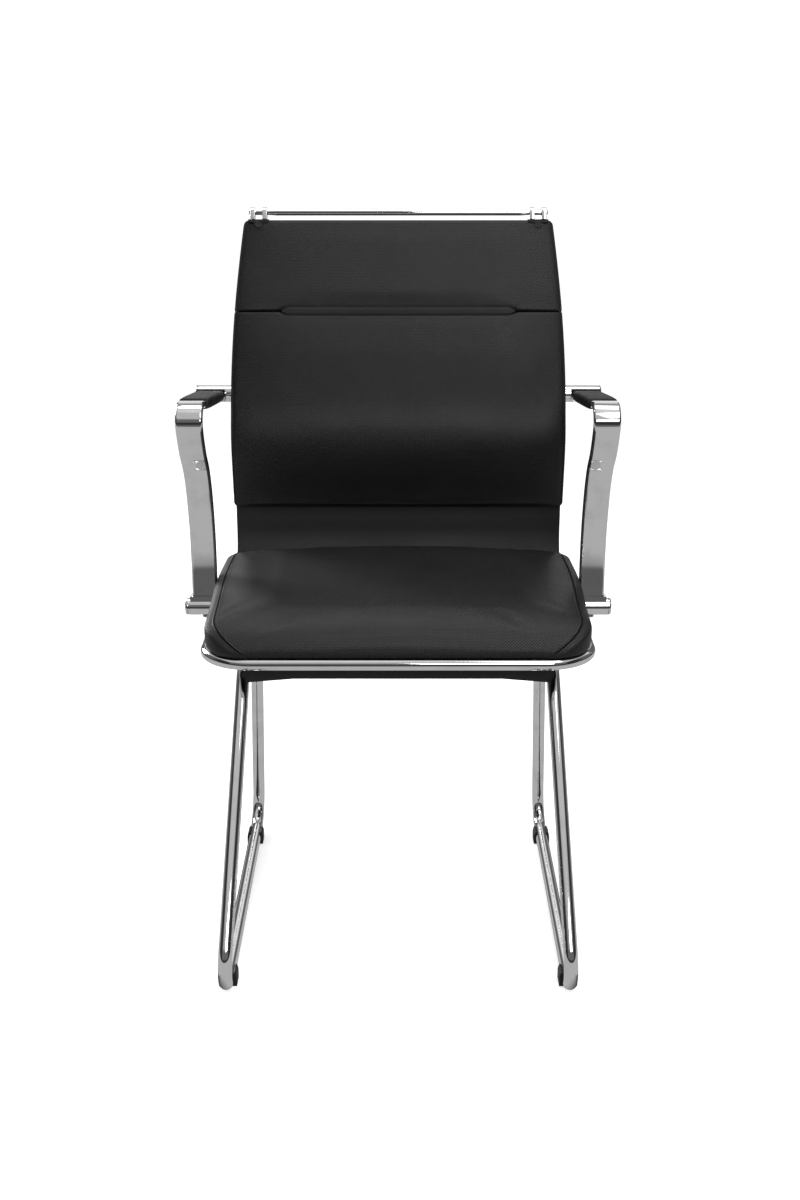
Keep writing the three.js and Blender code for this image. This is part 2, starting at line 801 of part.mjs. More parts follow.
const upwards = new THREE.Vector3(0, 0, 1);
const sheetDepth = plate.sheet + fitGap + screw.bite;

function plateScrewPlaces(y) {
  const outer = sledTopHalf - plate.outerScrewInset;
  return [-outer, -plate.innerScrewX, plate.innerScrewX, outer].map((x) => ({
    point: new THREE.Vector3(x, y, flangeUnder),
    way: upwards.clone(),
    depth: sheetDepth,
  }));
}

const frontPlateScrews = plateScrewPlaces(plate.frontY + plate.flange / 2);
const rearPlateScrews = plateScrewPlaces(plate.rearY + plate.sheet - plate.flange / 2);

function addPlates() {
  const front = plateGeometry(frontPlateWeb(), plate.frontY, plate.frontY, frontPlateScrews);
  const rearStart = plate.rearY + plate.sheet - plate.flange;
  const rear = plateGeometry(rearPlateWeb(), rearStart, plate.rearY, rearPlateScrews);
  finish('front_cross_plate', front, blackSteel);
  finish('rear_cross_plate', rear, blackSteel);
}

// Seat frame tube, its ends fish-mouthed against the lower cross tube, and its screw tabs
function seatFrameStations() {
  const endY = lowerTube.y - crossTube.copeDepth;
  const { halfWidth, frontY, level, bendRadius } = seatFrame;
  const corner = (x, y) => new THREE.Vector3(x, y, level);
  return filletedPath([
    corner(-halfWidth, endY), corner(-halfWidth, frontY), corner(halfWidth, frontY), corner(halfWidth, endY),
  ], bendRadius, 8);
}

function lowerTubeBar(growth) {
  return rod(crossTube.radius + growth, 2 * lowerTubeHalf, 'x', 0, lowerTube.y, lowerTube.level, 20);
}

const tabScrewX = seatFrame.halfWidth - tab.screwInset;
const tabPlaces = sides.flatMap(([, side]) => [tab.frontY, tab.rearY].map((y) => ({ side, y })));
const tabScrews = tabPlaces.map(({ side, y }) => ({
  point: new THREE.Vector3(side * tabScrewX, y, flangeTop - tab.sheet),
  way: upwards.clone(),
  depth: tab.sheet + fitGap + screw.bite,
}));

function addSeatFrame() {
  const stations = seatFrameStations();
  const tube = tubeAlong(stations, upwards, seatFrame.tubeRadius, seatFrame.wall, 12);
  const boreRadius = seatFrame.tubeRadius - seatFrame.wall;
  const bore = rodAlong(stations, upwards, boreRadius, 12);
  const innerX = seatFrame.halfWidth - tab.innerInset;
  const plates = tabPlaces.map(({ side, y }) => cut(box(
    tab.innerInset, tab.length, tab.sheet, side * (innerX + tab.innerInset / 2), y, flangeTop - tab.sheet / 2,
  ), [bore]));
  const frame = join([tube, ...plates]);
  finish('seat_frame_tube', cut(frame, [lowerTubeBar(fitGap), ...tabScrews.map(holeSolid)]), chrome);
}

// Arms
const armFootLevel = lowerTube.level + crossTube.radius + saddle.rise + fitGap;
const armRearY = upperPlace.y - crossTube.radius - saddle.rise - fitGap;
const armStraps = sides.map(([name, side]) => ({ name, x: side * armCentreX }));

function armCurve(x) {
  const topLine = arm.topLevel - arm.thickness / 2;
  const noseLevel = topLine - arm.noseRadius;
  const reach = lowerTube.y - arm.noseY;
  const height = noseLevel - armFootLevel;
  const spine = armCurveShares.map(([back, up]) => [arm.noseY + back * reach, armFootLevel + up * height]);
  const nose = [1, 2, 3].map((k) => {
    const angle = (Math.PI / 2) * (k / 3);
    return [
      arm.noseY + arm.noseRadius * (1 - Math.cos(angle)),
      noseLevel + arm.noseRadius * Math.sin(angle),
    ];
  });
  const noseEndY = arm.noseY + arm.noseRadius;
  const rear = [0.12, 0.5, 1].map((share) => [
    THREE.MathUtils.lerp(noseEndY, armRearY + cutOverrun, share),
    THREE.MathUtils.lerp(topLine, upperPlace.z, share),
  ]);
  const points = [...spine, ...nose, ...rear].map(([y, z]) => new THREE.Vector3(x, y, z));
  return new THREE.CatmullRomCurve3(points);
}

function roundedBar(width, height, radius) {
  const corners = [[1, 1], [-1, 1], [-1, -1], [1, -1]];
  return corners.flatMap(([sx, sy], quarter) => [0, 1, 2].map((k) => {
    const angle = (Math.PI / 2) * (quarter + k / 2);
    return [
      sx * (width / 2 - radius) + radius * Math.cos(angle),
      sy * (height / 2 - radius) + radius * Math.sin(angle),
    ];
  }));
}

const acrossX = new THREE.Vector3(1, 0, 0);
const samplesPerSpan = 2;

function armStations(x) {
  const curve = armCurve(x);
  const steps = samplesPerSpan * (curve.points.length - 1);
  return Array.from({ length: steps + 1 }, (_, k) => ({
    point: curve.getPoint(k / steps),
    direction: curve.getTangent(k / steps),
  }));
}

function armBar(x, growth) {
  const outline = roundedBar(arm.width + 2 * growth, arm.thickness + 2 * growth, arm.edgeRound + growth);
  return loft(armStations(x).map((station) => ringAt(station, acrossX, outline)));
}

// The arm's top run between two places, with the samples that lie between them
function armTopStations(x, startY, endY) {
  const top = armStations(x).slice(samplesPerSpan * (armCurveShares.length + 2));
  const at = (y) => {
    const next = top.findIndex(({ point }) => point.y > y);
    const [a, b] = [top[next - 1], top[next]];
    const share = (y - a.point.y) / (b.point.y - a.point.y);
    return { point: a.point.clone().lerp(b.point, share), direction: a.direction.clone().lerp(b.direction, share) };
  };
  const between = top.filter(({ point }) => point.y > startY && point.y < endY);
  return [at(startY), ...between, at(endY)];
}

function armPadGeometry(x) {
  const grow = fitGap + armPad.wall;
  const outline = (inset) => roundedBar(
    arm.width + 2 * (grow - inset), arm.thickness + 2 * (grow - inset), armPad.edgeRound - inset,
  );
  const { startY, endY, hem } = armPad;
  const stations = armTopStations(x, startY, endY);
  const body = armTopStations(x, startY + hem, endY - hem);
  const rings = [stations[0], ...body, stations[stations.length - 1]];
  const last = rings.length - 1;
  const sleeve = loft(rings.map((station, k) => (
    ringAt(station, acrossX, outline(k === 0 || k === last ? hem : 0))
  )));
  return cut(sleeve, [armBar(x, fitGap)]);
}

function armScrewPlaces(x) {
  const depth = 2 * crossTube.radius + saddle.rise + fitGap + arm.screwBite;
  return [
    { point: new THREE.Vector3(x, lowerTube.y, lowerTube.level - crossTube.radius), way: upwards.clone(), depth },
    {
      point: new THREE.Vector3(x, upperPlace.y + crossTube.radius, upperPlace.z),
      way: new THREE.Vector3(0, -1, 0),
      depth,
    },
  ];
}

// A block between an arm's end and a cross tube, hollowed to hug the tube
function saddleGeometry(x, place, way, screwPlace) {
  const hug = saddle.hugShare * crossTube.radius;
  const height = crossTube.radius + saddle.rise - hug;
  const block = new THREE.BoxGeometry(saddle.width, height, saddle.spread)
    .translate(0, hug + height / 2, 0);
  const standing = alongY(block, { point: place.clone().setX(x), way });
  const bar = rod(crossTube.radius + fitGap, 2 * saddle.width, 'x', x, place.y, place.z, 20);
  return cut(standing, [bar, holeSolid(screwPlace)]);
}

// Squares the strap's rear end where it meets the upper saddle
function rearStop(x) {
  return box(saddle.width, 2 * cutOverrun, 2 * arm.width, x, armRearY + cutOverrun, upperPlace.z);
}

function addArms() {
  armStraps.forEach(({ name, x }) => {
    const [lower, upper] = armScrewPlaces(x);
    const strap = cut(armBar(x, 0), [rearStop(x), holeSolid(lower), holeSolid(upper)]);
    finish(`arm_strap_${name}`, strap, chrome);
    finish(`arm_pad_${name}`, armPadGeometry(x), leather);
    finish(`arm_saddle_lower_${name}`, saddleGeometry(x, lowerPlace, upwards, lower), chrome);
    finish(`arm_saddle_upper_${name}`, saddleGeometry(x, upperPlace, upper.way, upper), chrome);
    finish(`arm_screw_lower_${name}`, screwSolid(lower), zincSteel);
    finish(`arm_screw_upper_${name}`, screwSolid(upper), zincSteel);
  });
}

// Handle above the back, in a local frame at the shell's top edge: out to the sitter and up the back
const backTop = stationAt(shellLength);
const backNormal = backTop.normal.clone().normalize();
const backUp = new THREE.Vector3(0, backNormal.z, -backNormal.y);
const handleOut = padSeat + (pad.thickness + pad.crown) / 2;

function topPoint(x, up, out) {
  return backTop.point.clone().setX(x).addScaledVector(backUp, up).addScaledVector(backNormal, out);
}

// An outline of [x, up] points between two distances out from the shell's middle
function topBlock(outline, from, to) {
  return loft([from, to].map((out) => outline.map(([x, up]) => topPoint(x, up, out))));
}

function bracketOutline(middleX, growth) {
  const { bandWidth, barMargin, tongueWidth, tongueDrop, barDrop } = handle;
  const half = (outerBandX - innerBandX + bandWidth) / 2 + barMargin + growth;
  const tongue = tongueWidth / 2 + growth;
  const centreDrop = tongueDrop - tongueWidth / 2;
  const bottom = arcAngles(0, -Math.PI, 6)
    .map((angle) => [middleX + tongue * Math.cos(angle), -centreDrop + tongue * Math.sin(angle)]);
  const over = growth > 0 ? cutOverrun : 0;
  return [
    [middleX + half, over], [middleX + half, -barDrop - growth], [middleX + tongue, -barDrop - growth], ...bottom,
    [middleX - tongue, -barDrop - growth], [middleX - half, -barDrop - growth], [middleX - half, over],
  ];
}

// A band bent over the rail: its legs stand on the bracket
function bandGeometry(x) {
  const inner = handle.neckRadius + fitGap;
  const outer = inner + handle.bandThickness;
  const arc = (radius, from, to) => arcAngles(from, to, 8)
    .map((angle) => [radius * Math.cos(angle), handle.rise + radius * Math.sin(angle)]);
  const outline = [
    [outer, fitGap], ...arc(outer, 0, Math.PI), [-outer, fitGap],
    [-inner, fitGap], ...arc(inner, Math.PI, 0), [inner, fitGap],
  ];
  const points = outline.map(([out, up]) => {
    const point = topPoint(0, up, handleOut + out);
    return [point.y, point.z];
  });
  return prismX(points, handle.bandWidth, x);
}

function handleRailGeometry() {
  const { railRadius, neckRadius, neckLength, neckTaper } = handle;
  const neckStart = railHalf - neckLength;
  const round = neckRadius / 2;
  const half = [
    [railRadius, neckStart - neckTaper], [neckRadius, neckStart], [neckRadius, railHalf - round],
    [neckRadius - round, railHalf], [0, railHalf],
  ];
  const mirrored = half.map(([radius, along]) => [radius, -along]).reverse();
  const place = topPoint(0, handle.rise, handleOut);
  return turnedX([...mirrored, ...half], 0, place.y, place.z, 14);
}

const bracketXs = sides.map(([name, side]) => ({ name, x: (side * (innerBandX + outerBandX)) / 2 }));

const handleScrews = bracketXs.map(({ x }) => ({
  point: topPoint(x, -handle.screwDrop, -shell.thickness / 2),
  way: backNormal.clone(),
  depth: shell.thickness + fitGap + screw.bite,
}));

function bracketNotch(x) {
  return topBlock(bracketOutline(x, fitGap), 0, 2 * handleOut + cutOverrun);
}

function addHandle() {
  finish('handle_rail', handleRailGeometry(), chrome);
  sides.forEach(([name, side]) => {
    finish(`handle_band_inner_${name}`, bandGeometry(side * innerBandX), chrome);
    finish(`handle_band_outer_${name}`, bandGeometry(side * outerBandX), chrome);
  });
  bracketXs.forEach(({ name, x }, k) => {
    const face = padSeat + pad.thickness;
    const block = topBlock(bracketOutline(x, 0), padSeat, face);
    finish(`handle_bracket_${name}`, cut(block, [holeSolid(handleScrews[k])]), plastic);
    finish(`handle_screw_${name}`, screwSolid(handleScrews[k]), zincSteel);
  });
}

// Cross tubes with their caps, clamps and screws
function addCrossTube(label, place, halfLength, up, clampX, armScrewIndex) {
  const holes = armStraps.map(({ x }) => armScrewPlaces(x)[armScrewIndex]);
  finish(`${label}_cross_tube`, crossTubeGeometry(place, halfLength, holes), chrome);
  const screws = [];
  sides.forEach(([name, side]) => {
    finish(`${label}_tube_cap_${name}`, crossCapGeometry(place, halfLength, side), chrome);
    const places = clampScrewPlaces(place, up, side * clampX);
    screws.push(...places);
    const strap = clampGeometry(place, up, side * clampX);
    finish(`${label}_tube_clamp_${name}`, join([strap, ...places.map(screwSolid)]), blackSteel);
  });
  return screws;
}

function addUpholstery() {
  const top = shellLength - pad.topInset;
  const seamHalf = pad.seamGap / 2;
  const pocket = seamStripGeometry(fitGap, seamStrip.floor - fitGap, seamStrip.face + cutOverrun);
  const notches = bracketXs.map(({ x }) => bracketNotch(x));
  const lower = padGeometry(
    alongAtLevel(pad.bottomLevel), seamAlong - seamHalf, pad.edgeRound, pad.seamCorner, [pocket],
  );
  const upper = padGeometry(seamAlong + seamHalf, top, pad.seamCorner, pad.topCorner, [pocket, ...notches]);
  finish('back_pad', lower, leather);
  finish('head_pad', upper, leather);
  finish('seam_strip', seamStripGeometry(0, seamStrip.floor, seamStrip.face), leather);
  finish('seat_cushion', seatCushionGeometry(), leather);
}

// Assembly
addSled();
addGlides();
addPlates();
addSeatFrame();
addArms();
addHandle();
const lowerScrews = addCrossTube('lower', lowerPlace, lowerTubeHalf, upwards, sledTopHalf - clamp.lowerInset, 0);
const upperScrews = addCrossTube('upper', upperPlace, upperTubeHalf, upperUp, shellTopHalf - clamp.upperInset, 1);
const underScrews = [...frontPlateScrews, ...rearPlateScrews, ...tabScrews];
underScrews.forEach((place, k) => finish(`seat_screw_${k + 1}`, screwSolid(place), zincSteel));
finish('shell', shellGeometry([...lowerScrews, ...upperScrews, ...underScrews, ...handleScrews]), leather);
addUpholstery();

// Centre the footprint on the origin
parts.updateMatrixWorld(true);
const size = new THREE.Box3().setFromObject(parts);
parts.position.y = -(size.min.y + size.max.y) / 2;
parts.updateMatrixWorld(true);

export default parts;
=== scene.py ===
# %% [markdown]
# A sled base visitor chair: a bent shell covered in black leather stands on a chrome frame with fixed
# arms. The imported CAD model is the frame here. It gives every place, and this script dresses it.
# Modelling by hand over it would do too, but formulas keep every size where it can be read and changed.
# Sizes are written in millimetres and turned into metres once, where a surface becomes a mesh.

# %% Frame
import math

import bpy
import numpy as np
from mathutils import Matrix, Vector


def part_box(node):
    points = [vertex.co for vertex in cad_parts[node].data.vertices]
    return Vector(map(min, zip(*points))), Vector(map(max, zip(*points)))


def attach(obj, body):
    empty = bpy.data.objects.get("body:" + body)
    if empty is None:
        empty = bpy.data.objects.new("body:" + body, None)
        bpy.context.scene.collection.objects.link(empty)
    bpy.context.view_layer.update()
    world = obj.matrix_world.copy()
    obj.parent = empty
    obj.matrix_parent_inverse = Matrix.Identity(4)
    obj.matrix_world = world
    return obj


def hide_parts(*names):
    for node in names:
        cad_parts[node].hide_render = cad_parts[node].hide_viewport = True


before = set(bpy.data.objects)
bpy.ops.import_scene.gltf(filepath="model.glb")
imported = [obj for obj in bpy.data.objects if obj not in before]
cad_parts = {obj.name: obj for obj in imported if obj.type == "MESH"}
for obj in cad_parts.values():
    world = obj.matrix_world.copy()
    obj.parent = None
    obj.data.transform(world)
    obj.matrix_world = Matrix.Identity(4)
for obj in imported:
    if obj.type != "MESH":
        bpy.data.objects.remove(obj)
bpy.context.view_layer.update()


MM = 0.001
ROOT = "root"

# %% [markdown]
# The camera comes first, because the photograph settles it: a 50 mm lens on a 36 mm tall sensor, a little
# above the arms and looking 17 degrees down. It could be set by eye. Here the floor rails, legs and cross
# tubes in the picture fix these numbers, so that every later look can be compared with it.

# %% Camera
CAMERA_PLACE = Vector((0.0025, -2.1776, 1.105))
CAMERA_PITCH = math.radians(73)
camera_data = bpy.data.cameras.new("camera")
camera_data.lens = 50
camera_data.sensor_fit = "VERTICAL"
camera_data.sensor_height = 36
camera = bpy.data.objects.new("camera", camera_data)
camera.location = CAMERA_PLACE
camera.rotation_euler = (CAMERA_PITCH, 0, 0)
bpy.context.scene.collection.objects.link(camera)
bpy.context.scene.camera = camera
bpy.context.scene.view_settings.view_transform = "Standard"
print("camera height above the floor:", round(camera.location.z, 3), "m")

# %% [markdown]
# A shader is a formula, so it is written as one. Its nodes could be placed and wired one by one, but a
# sum of three masks is then a dozen lines. Term wraps one socket, and Python's own signs add, scale and
# divide it by Math nodes, also with a plain number on the left.

# %% Sums of sockets


class Term:
    """One output socket that takes part in sums: each sign adds one Math node."""

    def __init__(self, shade, socket):
        self.shade = shade
        self.socket = socket

    def math(self, operation, *values):
        """One Math node that works on this value and others."""
        inputs = {index: value for index, value in enumerate((self, *values))}
        return self.shade.node("Math", {"operation": operation}, inputs)

    def __add__(self, other):
        return self.math("ADD", other)

    def __sub__(self, other):
        return self.math("SUBTRACT", other)

    def __mul__(self, other):
        return self.math("MULTIPLY", other)

    def __truediv__(self, other):
        return self.math("DIVIDE", other)

    def __rsub__(self, other):
        return self.math("MULTIPLY", -1.0) + other

    __radd__ = __add__
    __rmul__ = __mul__

    def smooth(self, low, high):
        """0 below low, 1 above high and a soft step between; the other way round where low is above high."""
        settings = {"interpolation_type": "SMOOTHSTEP"}
        if low > high:
            return 1.0 - self.smooth(high, low)
        return self.shade.node("MapRange", settings, {"Value": self, "From Min": low, "From Max": high})

    def mix(self, first, second):
        """The colour first where this is 0 and second where it is 1."""
        values = {"Factor": self, 6: first, 7: second}
        return self.shade.node("Mix", {"data_type": "RGBA"}, values, out=2)


print("Term ready: sums, products, soft steps and mixes")

# %% [markdown]
# Some nodes aren't sums: noise, cells, bumps and the shader itself. Each could have a function of its
# own. Shade makes any of them from its type, its settings and its values instead. The settings come
# first, because a node's sockets can depend on them.

# %% Nodes by type


class Shade:
    """One node tree. node() adds a node from its type, its settings and its socket values."""

    def __init__(self, tree):
        self.tree = tree
        tree.nodes.clear()

    def node(self, kind, settings=None, values=None, out=0):
        """Any node, with its settings first, then the values or links of its sockets."""
        made = self.tree.nodes.new("ShaderNode" + kind)
        for name, value in (settings or {}).items():
            setattr(made, name, value)
        for name, value in (values or {}).items():
            if isinstance(value, Term):
                self.tree.links.new(value.socket, made.inputs[name])
            else:
                made.inputs[name].default_value = value
        return Term(self, made.outputs[out])

    def place(self):
        """Object coordinates, in metres."""
        return self.node("TexCoord", out=3)

    def noise(self, vector, scale, detail=2.0, roughness=0.5):
        """Cloudy noise from 0 to 1."""
        values = {"Vector": vector, "Scale": scale, "Detail": detail, "Roughness": roughness}
        return self.node("TexNoise", None, values)

    def cells(self, vector, scale, feature="F1", randomness=1.0):
        """Cells about scattered points: the distance to a point or to the cell's edge."""
        values = {"Vector": vector, "Scale": scale, "Randomness": randomness}
        return self.node("TexVoronoi", {"feature": feature}, values)

    def bump(self, height, distance, strength=1.0):
        """A normal that leans with the slope of a height."""
        return self.node("Bump", None, {"Height": height, "Distance": distance, "Strength": strength})

    def surface(self, **values):
        """The material's one shader. An underscore in a name stands for a space."""
        named = {name.replace("_", " "): value for name, value in values.items()}
        shader = self.node("BsdfPrincipled", None, named)
        self.node_output("Material", shader)

    def node_output(self, kind, shader):
        """Joins a shader to the output."""
        made = self.tree.nodes.new("ShaderNodeOutput" + kind)
        self.tree.links.new(shader.socket, made.inputs["Surface"])


def new_shade(name):
    """A fresh material and the Shade that fills it."""
    material = bpy.data.materials.new(name)
    material.use_nodes = True
    return material, Shade(material.node_tree)


print("shader formulas ready")

# %% [markdown]
# The photograph is cut out on white, so the camera sees a plain white sky. Chrome only shows what stands
# round it, and in an all white room it would look like paper. So mirror rays see another sky: dark low in
# front, light high up and behind, with dark flags at both sides. A real studio does that with black and
# white cards.

# %% Studio sky


def grey(shade, value):
    """A colour from one number."""
    return shade.node("CombineColor", None, {"Red": value, "Green": value, "Blue": value})


def studio_sky():
    """Fills the world: plain light for everything, and a studio of light and dark fields for mirror rays."""
    world = bpy.data.worlds.new("studio")
    world.use_nodes = True
    bpy.context.scene.world = world
    shade = Shade(world.node_tree)
    way = shade.node("TexCoord")
    x, y, z = (shade.node("SeparateXYZ", None, {"Vector": way}, out=index) for index in range(3))
    front = y.smooth(0.25, -0.25)
    ahead = z.smooth(0.42, 0.62) * 0.42 + z.smooth(0.0, 0.14) * 0.12 + 0.03
    behind = z.smooth(0.0, 0.12) * 0.6 - z.smooth(0.5, 0.8) * 0.36 + 0.08
    flag = (x * x).smooth(0.45, 0.62) * z.smooth(0.75, 0.5)
    mirror = (behind + (ahead - behind) * front + z.smooth(0.85, 0.96) * 0.25) * (1.0 - flag * 0.8)
    glossy, seen = (shade.node("LightPath", out=name) for name in ("Is Glossy Ray", "Is Camera Ray"))
    plain = seen.mix(grey(shade, z.smooth(-0.1, 0.7) * 0.4 + 0.25), (1.0, 1.0, 1.0, 1))
    colour = glossy.mix(plain, grey(shade, mirror))
    shade.node_output("World", shade.node("Background", None, {"Color": colour, "Strength": 1.0}))


studio_sky()
print("sky:", bpy.context.scene.world.name)

# %% [markdown]
# A photographer's sweep is one sheet of paper that lies on the floor and bends up behind the object. It
# could be a plane and a wall, but their corner shows as a line. So the two are joined by a quarter
# circle.

# %% Studio floor
FLOOR_HALF, SWEEP_RADIUS = 6.0, 1.5
WALL_Y, WALL_HEIGHT = 5.0, 4.0


def studio_floor():
    """A plane that bends up into a wall behind the chair: a quarter circle joins the two."""
    turn = np.linspace(-np.pi / 2, 0, 24)
    middle = np.array([WALL_Y - SWEEP_RADIUS, SWEEP_RADIUS])
    bend = middle + SWEEP_RADIUS * np.stack([np.cos(turn), np.sin(turn)], 1)
    line = np.concatenate([[[-FLOOR_HALF, 0]], bend, [[WALL_Y, WALL_HEIGHT]]])
    sides = np.array([-FLOOR_HALF, FLOOR_HALF])
    points = np.empty((len(line), 2, 3))
    points[..., 0] = sides[None, :]
    points[..., 1:] = line[:, None, :]
    first = np.arange(len(line) - 1) * 2
    quads = np.stack([first, first + 1, first + 3, first + 2], 1)
    mesh = bpy.data.meshes.new("studio_floor")
    mesh.from_pydata(points.reshape(-1, 3).tolist(), [], quads.tolist())
    floor = bpy.data.objects.new("studio_floor", mesh)
    bpy.context.scene.collection.objects.link(floor)
    return floor


floor = studio_floor()
print("sweep:", WALL_HEIGHT, "m high,", WALL_Y, "m behind the chair")

# %% [markdown]
# The sheet is matt white paper that takes the chair's shadow. Plain white would do for the camera, but
# bent chrome mirrors the floor most of all. So mirror rays see it toned: light near the chair, dark
# further in front, with a painted shadow strip beside each floor rail. Those give the tubes their bands.

# %% Studio paper


def paper_material():
    """Matt paper with a glow that the camera sees, and a toned plane in its place for mirror rays."""
    material, shade = new_shade("studio_white")
    glossy, seen = (shade.node("LightPath", out=name) for name in ("Is Glossy Ray", "Is Camera Ray"))
    paper = shade.noise(shade.place(), 3.0) * 0.02 + (seen * 0.62 + 0.3)
    high = shade.node("SeparateXYZ", None, {"Vector": shade.place()}, out=2).smooth(0.4, 1.6)
    glow = grey(shade, seen * (high * 0.2 + 0.9) + 0.1)
    values = {"Base Color": grey(shade, paper), "Roughness": 0.9}
    values.update({"Emission Color": glow, "Emission Strength": 0.5})
    matt = shade.node("BsdfPrincipled", None, values)
    x, y = (shade.node("SeparateXYZ", None, {"Vector": shade.place()}, out=index) for index in range(2))
    near = (x * x + (y + 0.3) * (y + 0.3)).math("SQRT")
    aside = (x * x).math("SQRT")
    # A painted shadow: the floor that chrome mirrors is darkened in a strip beside each rail, as its contact
    # shadow.
    rail_shadow_strip = aside.smooth(0.2, 0.235) * aside.smooth(0.285, 0.27) * (y * y).smooth(0.12, 0.07)
    tone = 0.5 - near.smooth(1.6, 2.6) * 0.08 - y.smooth(-0.85, -1.25) * 0.38 + y.smooth(0.6, 2.0) * 0.45
    tone = tone * (1.0 - rail_shadow_strip * 0.93) * (1.0 - aside.smooth(1.2, 2.0) * y.smooth(1.0, 3.0) * 0.85)
    mirrored = shade.node("Emission", None, {"Color": grey(shade, tone), "Strength": 1.0})
    shade.node_output("Material", shade.node("MixShader", None, {0: glossy, 1: matt, 2: mirrored}))
    return material


floor.data.materials.append(paper_material())
print("paper:", floor.data.materials[0].name)

# %% [markdown]
# Softboxes are large lamps with an even face. The sky alone would light the chair too, but its light has
# no direction, and leather looks flat in it. The rim lamp is the strongest, because it grazes the flank
# and the cushion from behind.

# %% Softboxes


def softbox(name, place, target, width, height, power):
    """A rectangular area lamp turned towards a target."""
    data = bpy.data.lights.new(name, "AREA")
    data.shape = "RECTANGLE"
    data.size = width
    data.size_y = height
    data.energy = power
    lamp = bpy.data.objects.new(name, data)
    lamp.location = place
    lamp.rotation_euler = (Vector(target) - Vector(place)).to_track_quat("-Z", "Y").to_euler()
    bpy.context.scene.collection.objects.link(lamp)


softbox("key_softbox", (1.0, -1.5, 2.8), (0, 0, 0.6), 1.3, 1.1, 20)
softbox("fill_softbox", (0.7, -3.0, 1.9), (0, 0, 0.75), 1.3, 0.6, 25)
softbox("top_softbox", (0.1, 0.5, 3.0), (0, 0, 0.6), 1.8, 1.0, 20)
softbox("rim_softbox", (-1.9, 1.7, 1.25), (0, 0.05, 0.5), 0.9, 0.9, 44)

# %% [markdown]
# Polished chrome is a nearly neutral mirror. One value would give a perfect mirror, but a real tube isn't
# perfect: fingers and cloths leave faint smears that only change the roughness, and the buffing wheel
# leaves very fine waves. Both stay small, or the mirror turns to satin. Powder coat, moulded nylon and
# zinc plate go the same way: two tones, a roughness and a fine relief.

# %% Chrome, steel and plastics


def chrome_material():
    """Mirror metal whose roughness varies with smears, over long shallow buffing waves."""
    material, shade = new_shade("chrome_plate")
    place = shade.place()
    smear = shade.noise(place, 38.0, 4.0).smooth(0.42, 0.72)
    scratch = shade.noise(place, 900.0, 2.0).smooth(0.6, 0.8)
    wave = shade.noise(place, 18.0, 1.0)
    tone = smear.mix((0.80, 0.80, 0.80, 1), (0.74, 0.735, 0.73, 1))
    rough = smear * 0.04 + scratch * 0.02 + 0.045
    shade.surface(Base_Color=tone, Metallic=1.0, Roughness=rough, Normal=shade.bump(wave, 0.000015, 0.3))
    return material


def powder_steel_material():
    """Black powder coat: a fine orange peel, a little dust in its hollows."""
    material, shade = new_shade("black_powder_steel")
    place = shade.place()
    peel = shade.noise(place, 1400.0, 3.0)
    dust = shade.noise(place, 60.0, 3.0).smooth(0.5, 0.8)
    tone = dust.mix((0.010, 0.010, 0.011, 1), (0.020, 0.019, 0.018, 1))
    rough = peel * 0.16 + dust * 0.1 + 0.34
    shade.surface(Base_Color=tone, Metallic=0.0, Roughness=rough, Normal=shade.bump(peel, 0.00012, 0.7))
    return material


def nylon_material():
    """Moulded black nylon: spark-eroded grain, slightly polished where it is touched."""
    material, shade = new_shade("moulded_nylon")
    place = shade.place()
    grain = shade.cells(place, 2600.0)
    rub = shade.noise(place, 90.0, 2.0).smooth(0.45, 0.75)
    tone = rub.mix((0.004, 0.004, 0.004, 1), (0.009, 0.009, 0.009, 1))
    rough = 0.68 - rub * 0.14
    shade.surface(Base_Color=tone, Roughness=rough, Normal=shade.bump(grain, 0.00008, 0.6))
    return material


def zinc_material():
    """Zinc plated screws: grey metal with bluish and warm patches."""
    material, shade = new_shade("zinc_plate")
    place = shade.place()
    patch = shade.noise(place, 420.0, 3.0).smooth(0.35, 0.7)
    tone = patch.mix((0.42, 0.44, 0.47, 1), (0.5, 0.48, 0.42, 1))
    rough = patch * 0.14 + 0.24
    grain = shade.noise(place, 3200.0, 2.0)
    shade.surface(Base_Color=tone, Metallic=1.0, Roughness=rough, Normal=shade.bump(grain, 0.00003, 0.5))
    return material


chrome = chrome_material()
powder_steel = powder_steel_material()
nylon = nylon_material()
zinc = zinc_material()
print("hard finishes:", chrome.name, powder_steel.name, nylon.name, zinc.name)

# %% [markdown]
# The cushions' leather is perforated, with rows of needle holes 4.2 mm apart, every second row shifted by
# half. Holes cut in the mesh would need millions of faces. So the material draws them. They follow the
# panel and not space, and read two attributes that each cushion carries: how far a point lies across it
# and along it, in millimetres.

# %% Needle holes
HOLE_PITCH = 4.2
HOLE_RADIUS = 0.7


def hole_mask(shade):
    """1 inside a needle hole and 0 between: the distance to the nearer of two shifted square lattices."""
    across = shade.node("Attribute", {"attribute_name": "across"}, out=2)
    along = shade.node("Attribute", {"attribute_name": "along"}, out=2)
    near = None
    for shift in (0.0, 0.5):
        offsets = [(value / HOLE_PITCH + shift).math("FRACT") - 0.5 for value in (across, along)]
        gap = (offsets[0] * offsets[0] + offsets[1] * offsets[1]).math("SQRT") * HOLE_PITCH
        near = gap if near is None else near.math("MINIMUM", gap)
    return near.smooth(HOLE_RADIUS * 1.35, HOLE_RADIUS * 0.7)


print("needle holes:", HOLE_PITCH, "mm apart")

# %% [markdown]
# The cover is black leather: pebbles about a millimetre wide with creases between them, pores on the
# pebbles and slow changes of tone across the hide. A scanned hide could show that, but a formula has no
# seams and no largest size. The seams are sewn with a twisted thread, which gets fine diagonal ridges.

# %% Leather and thread


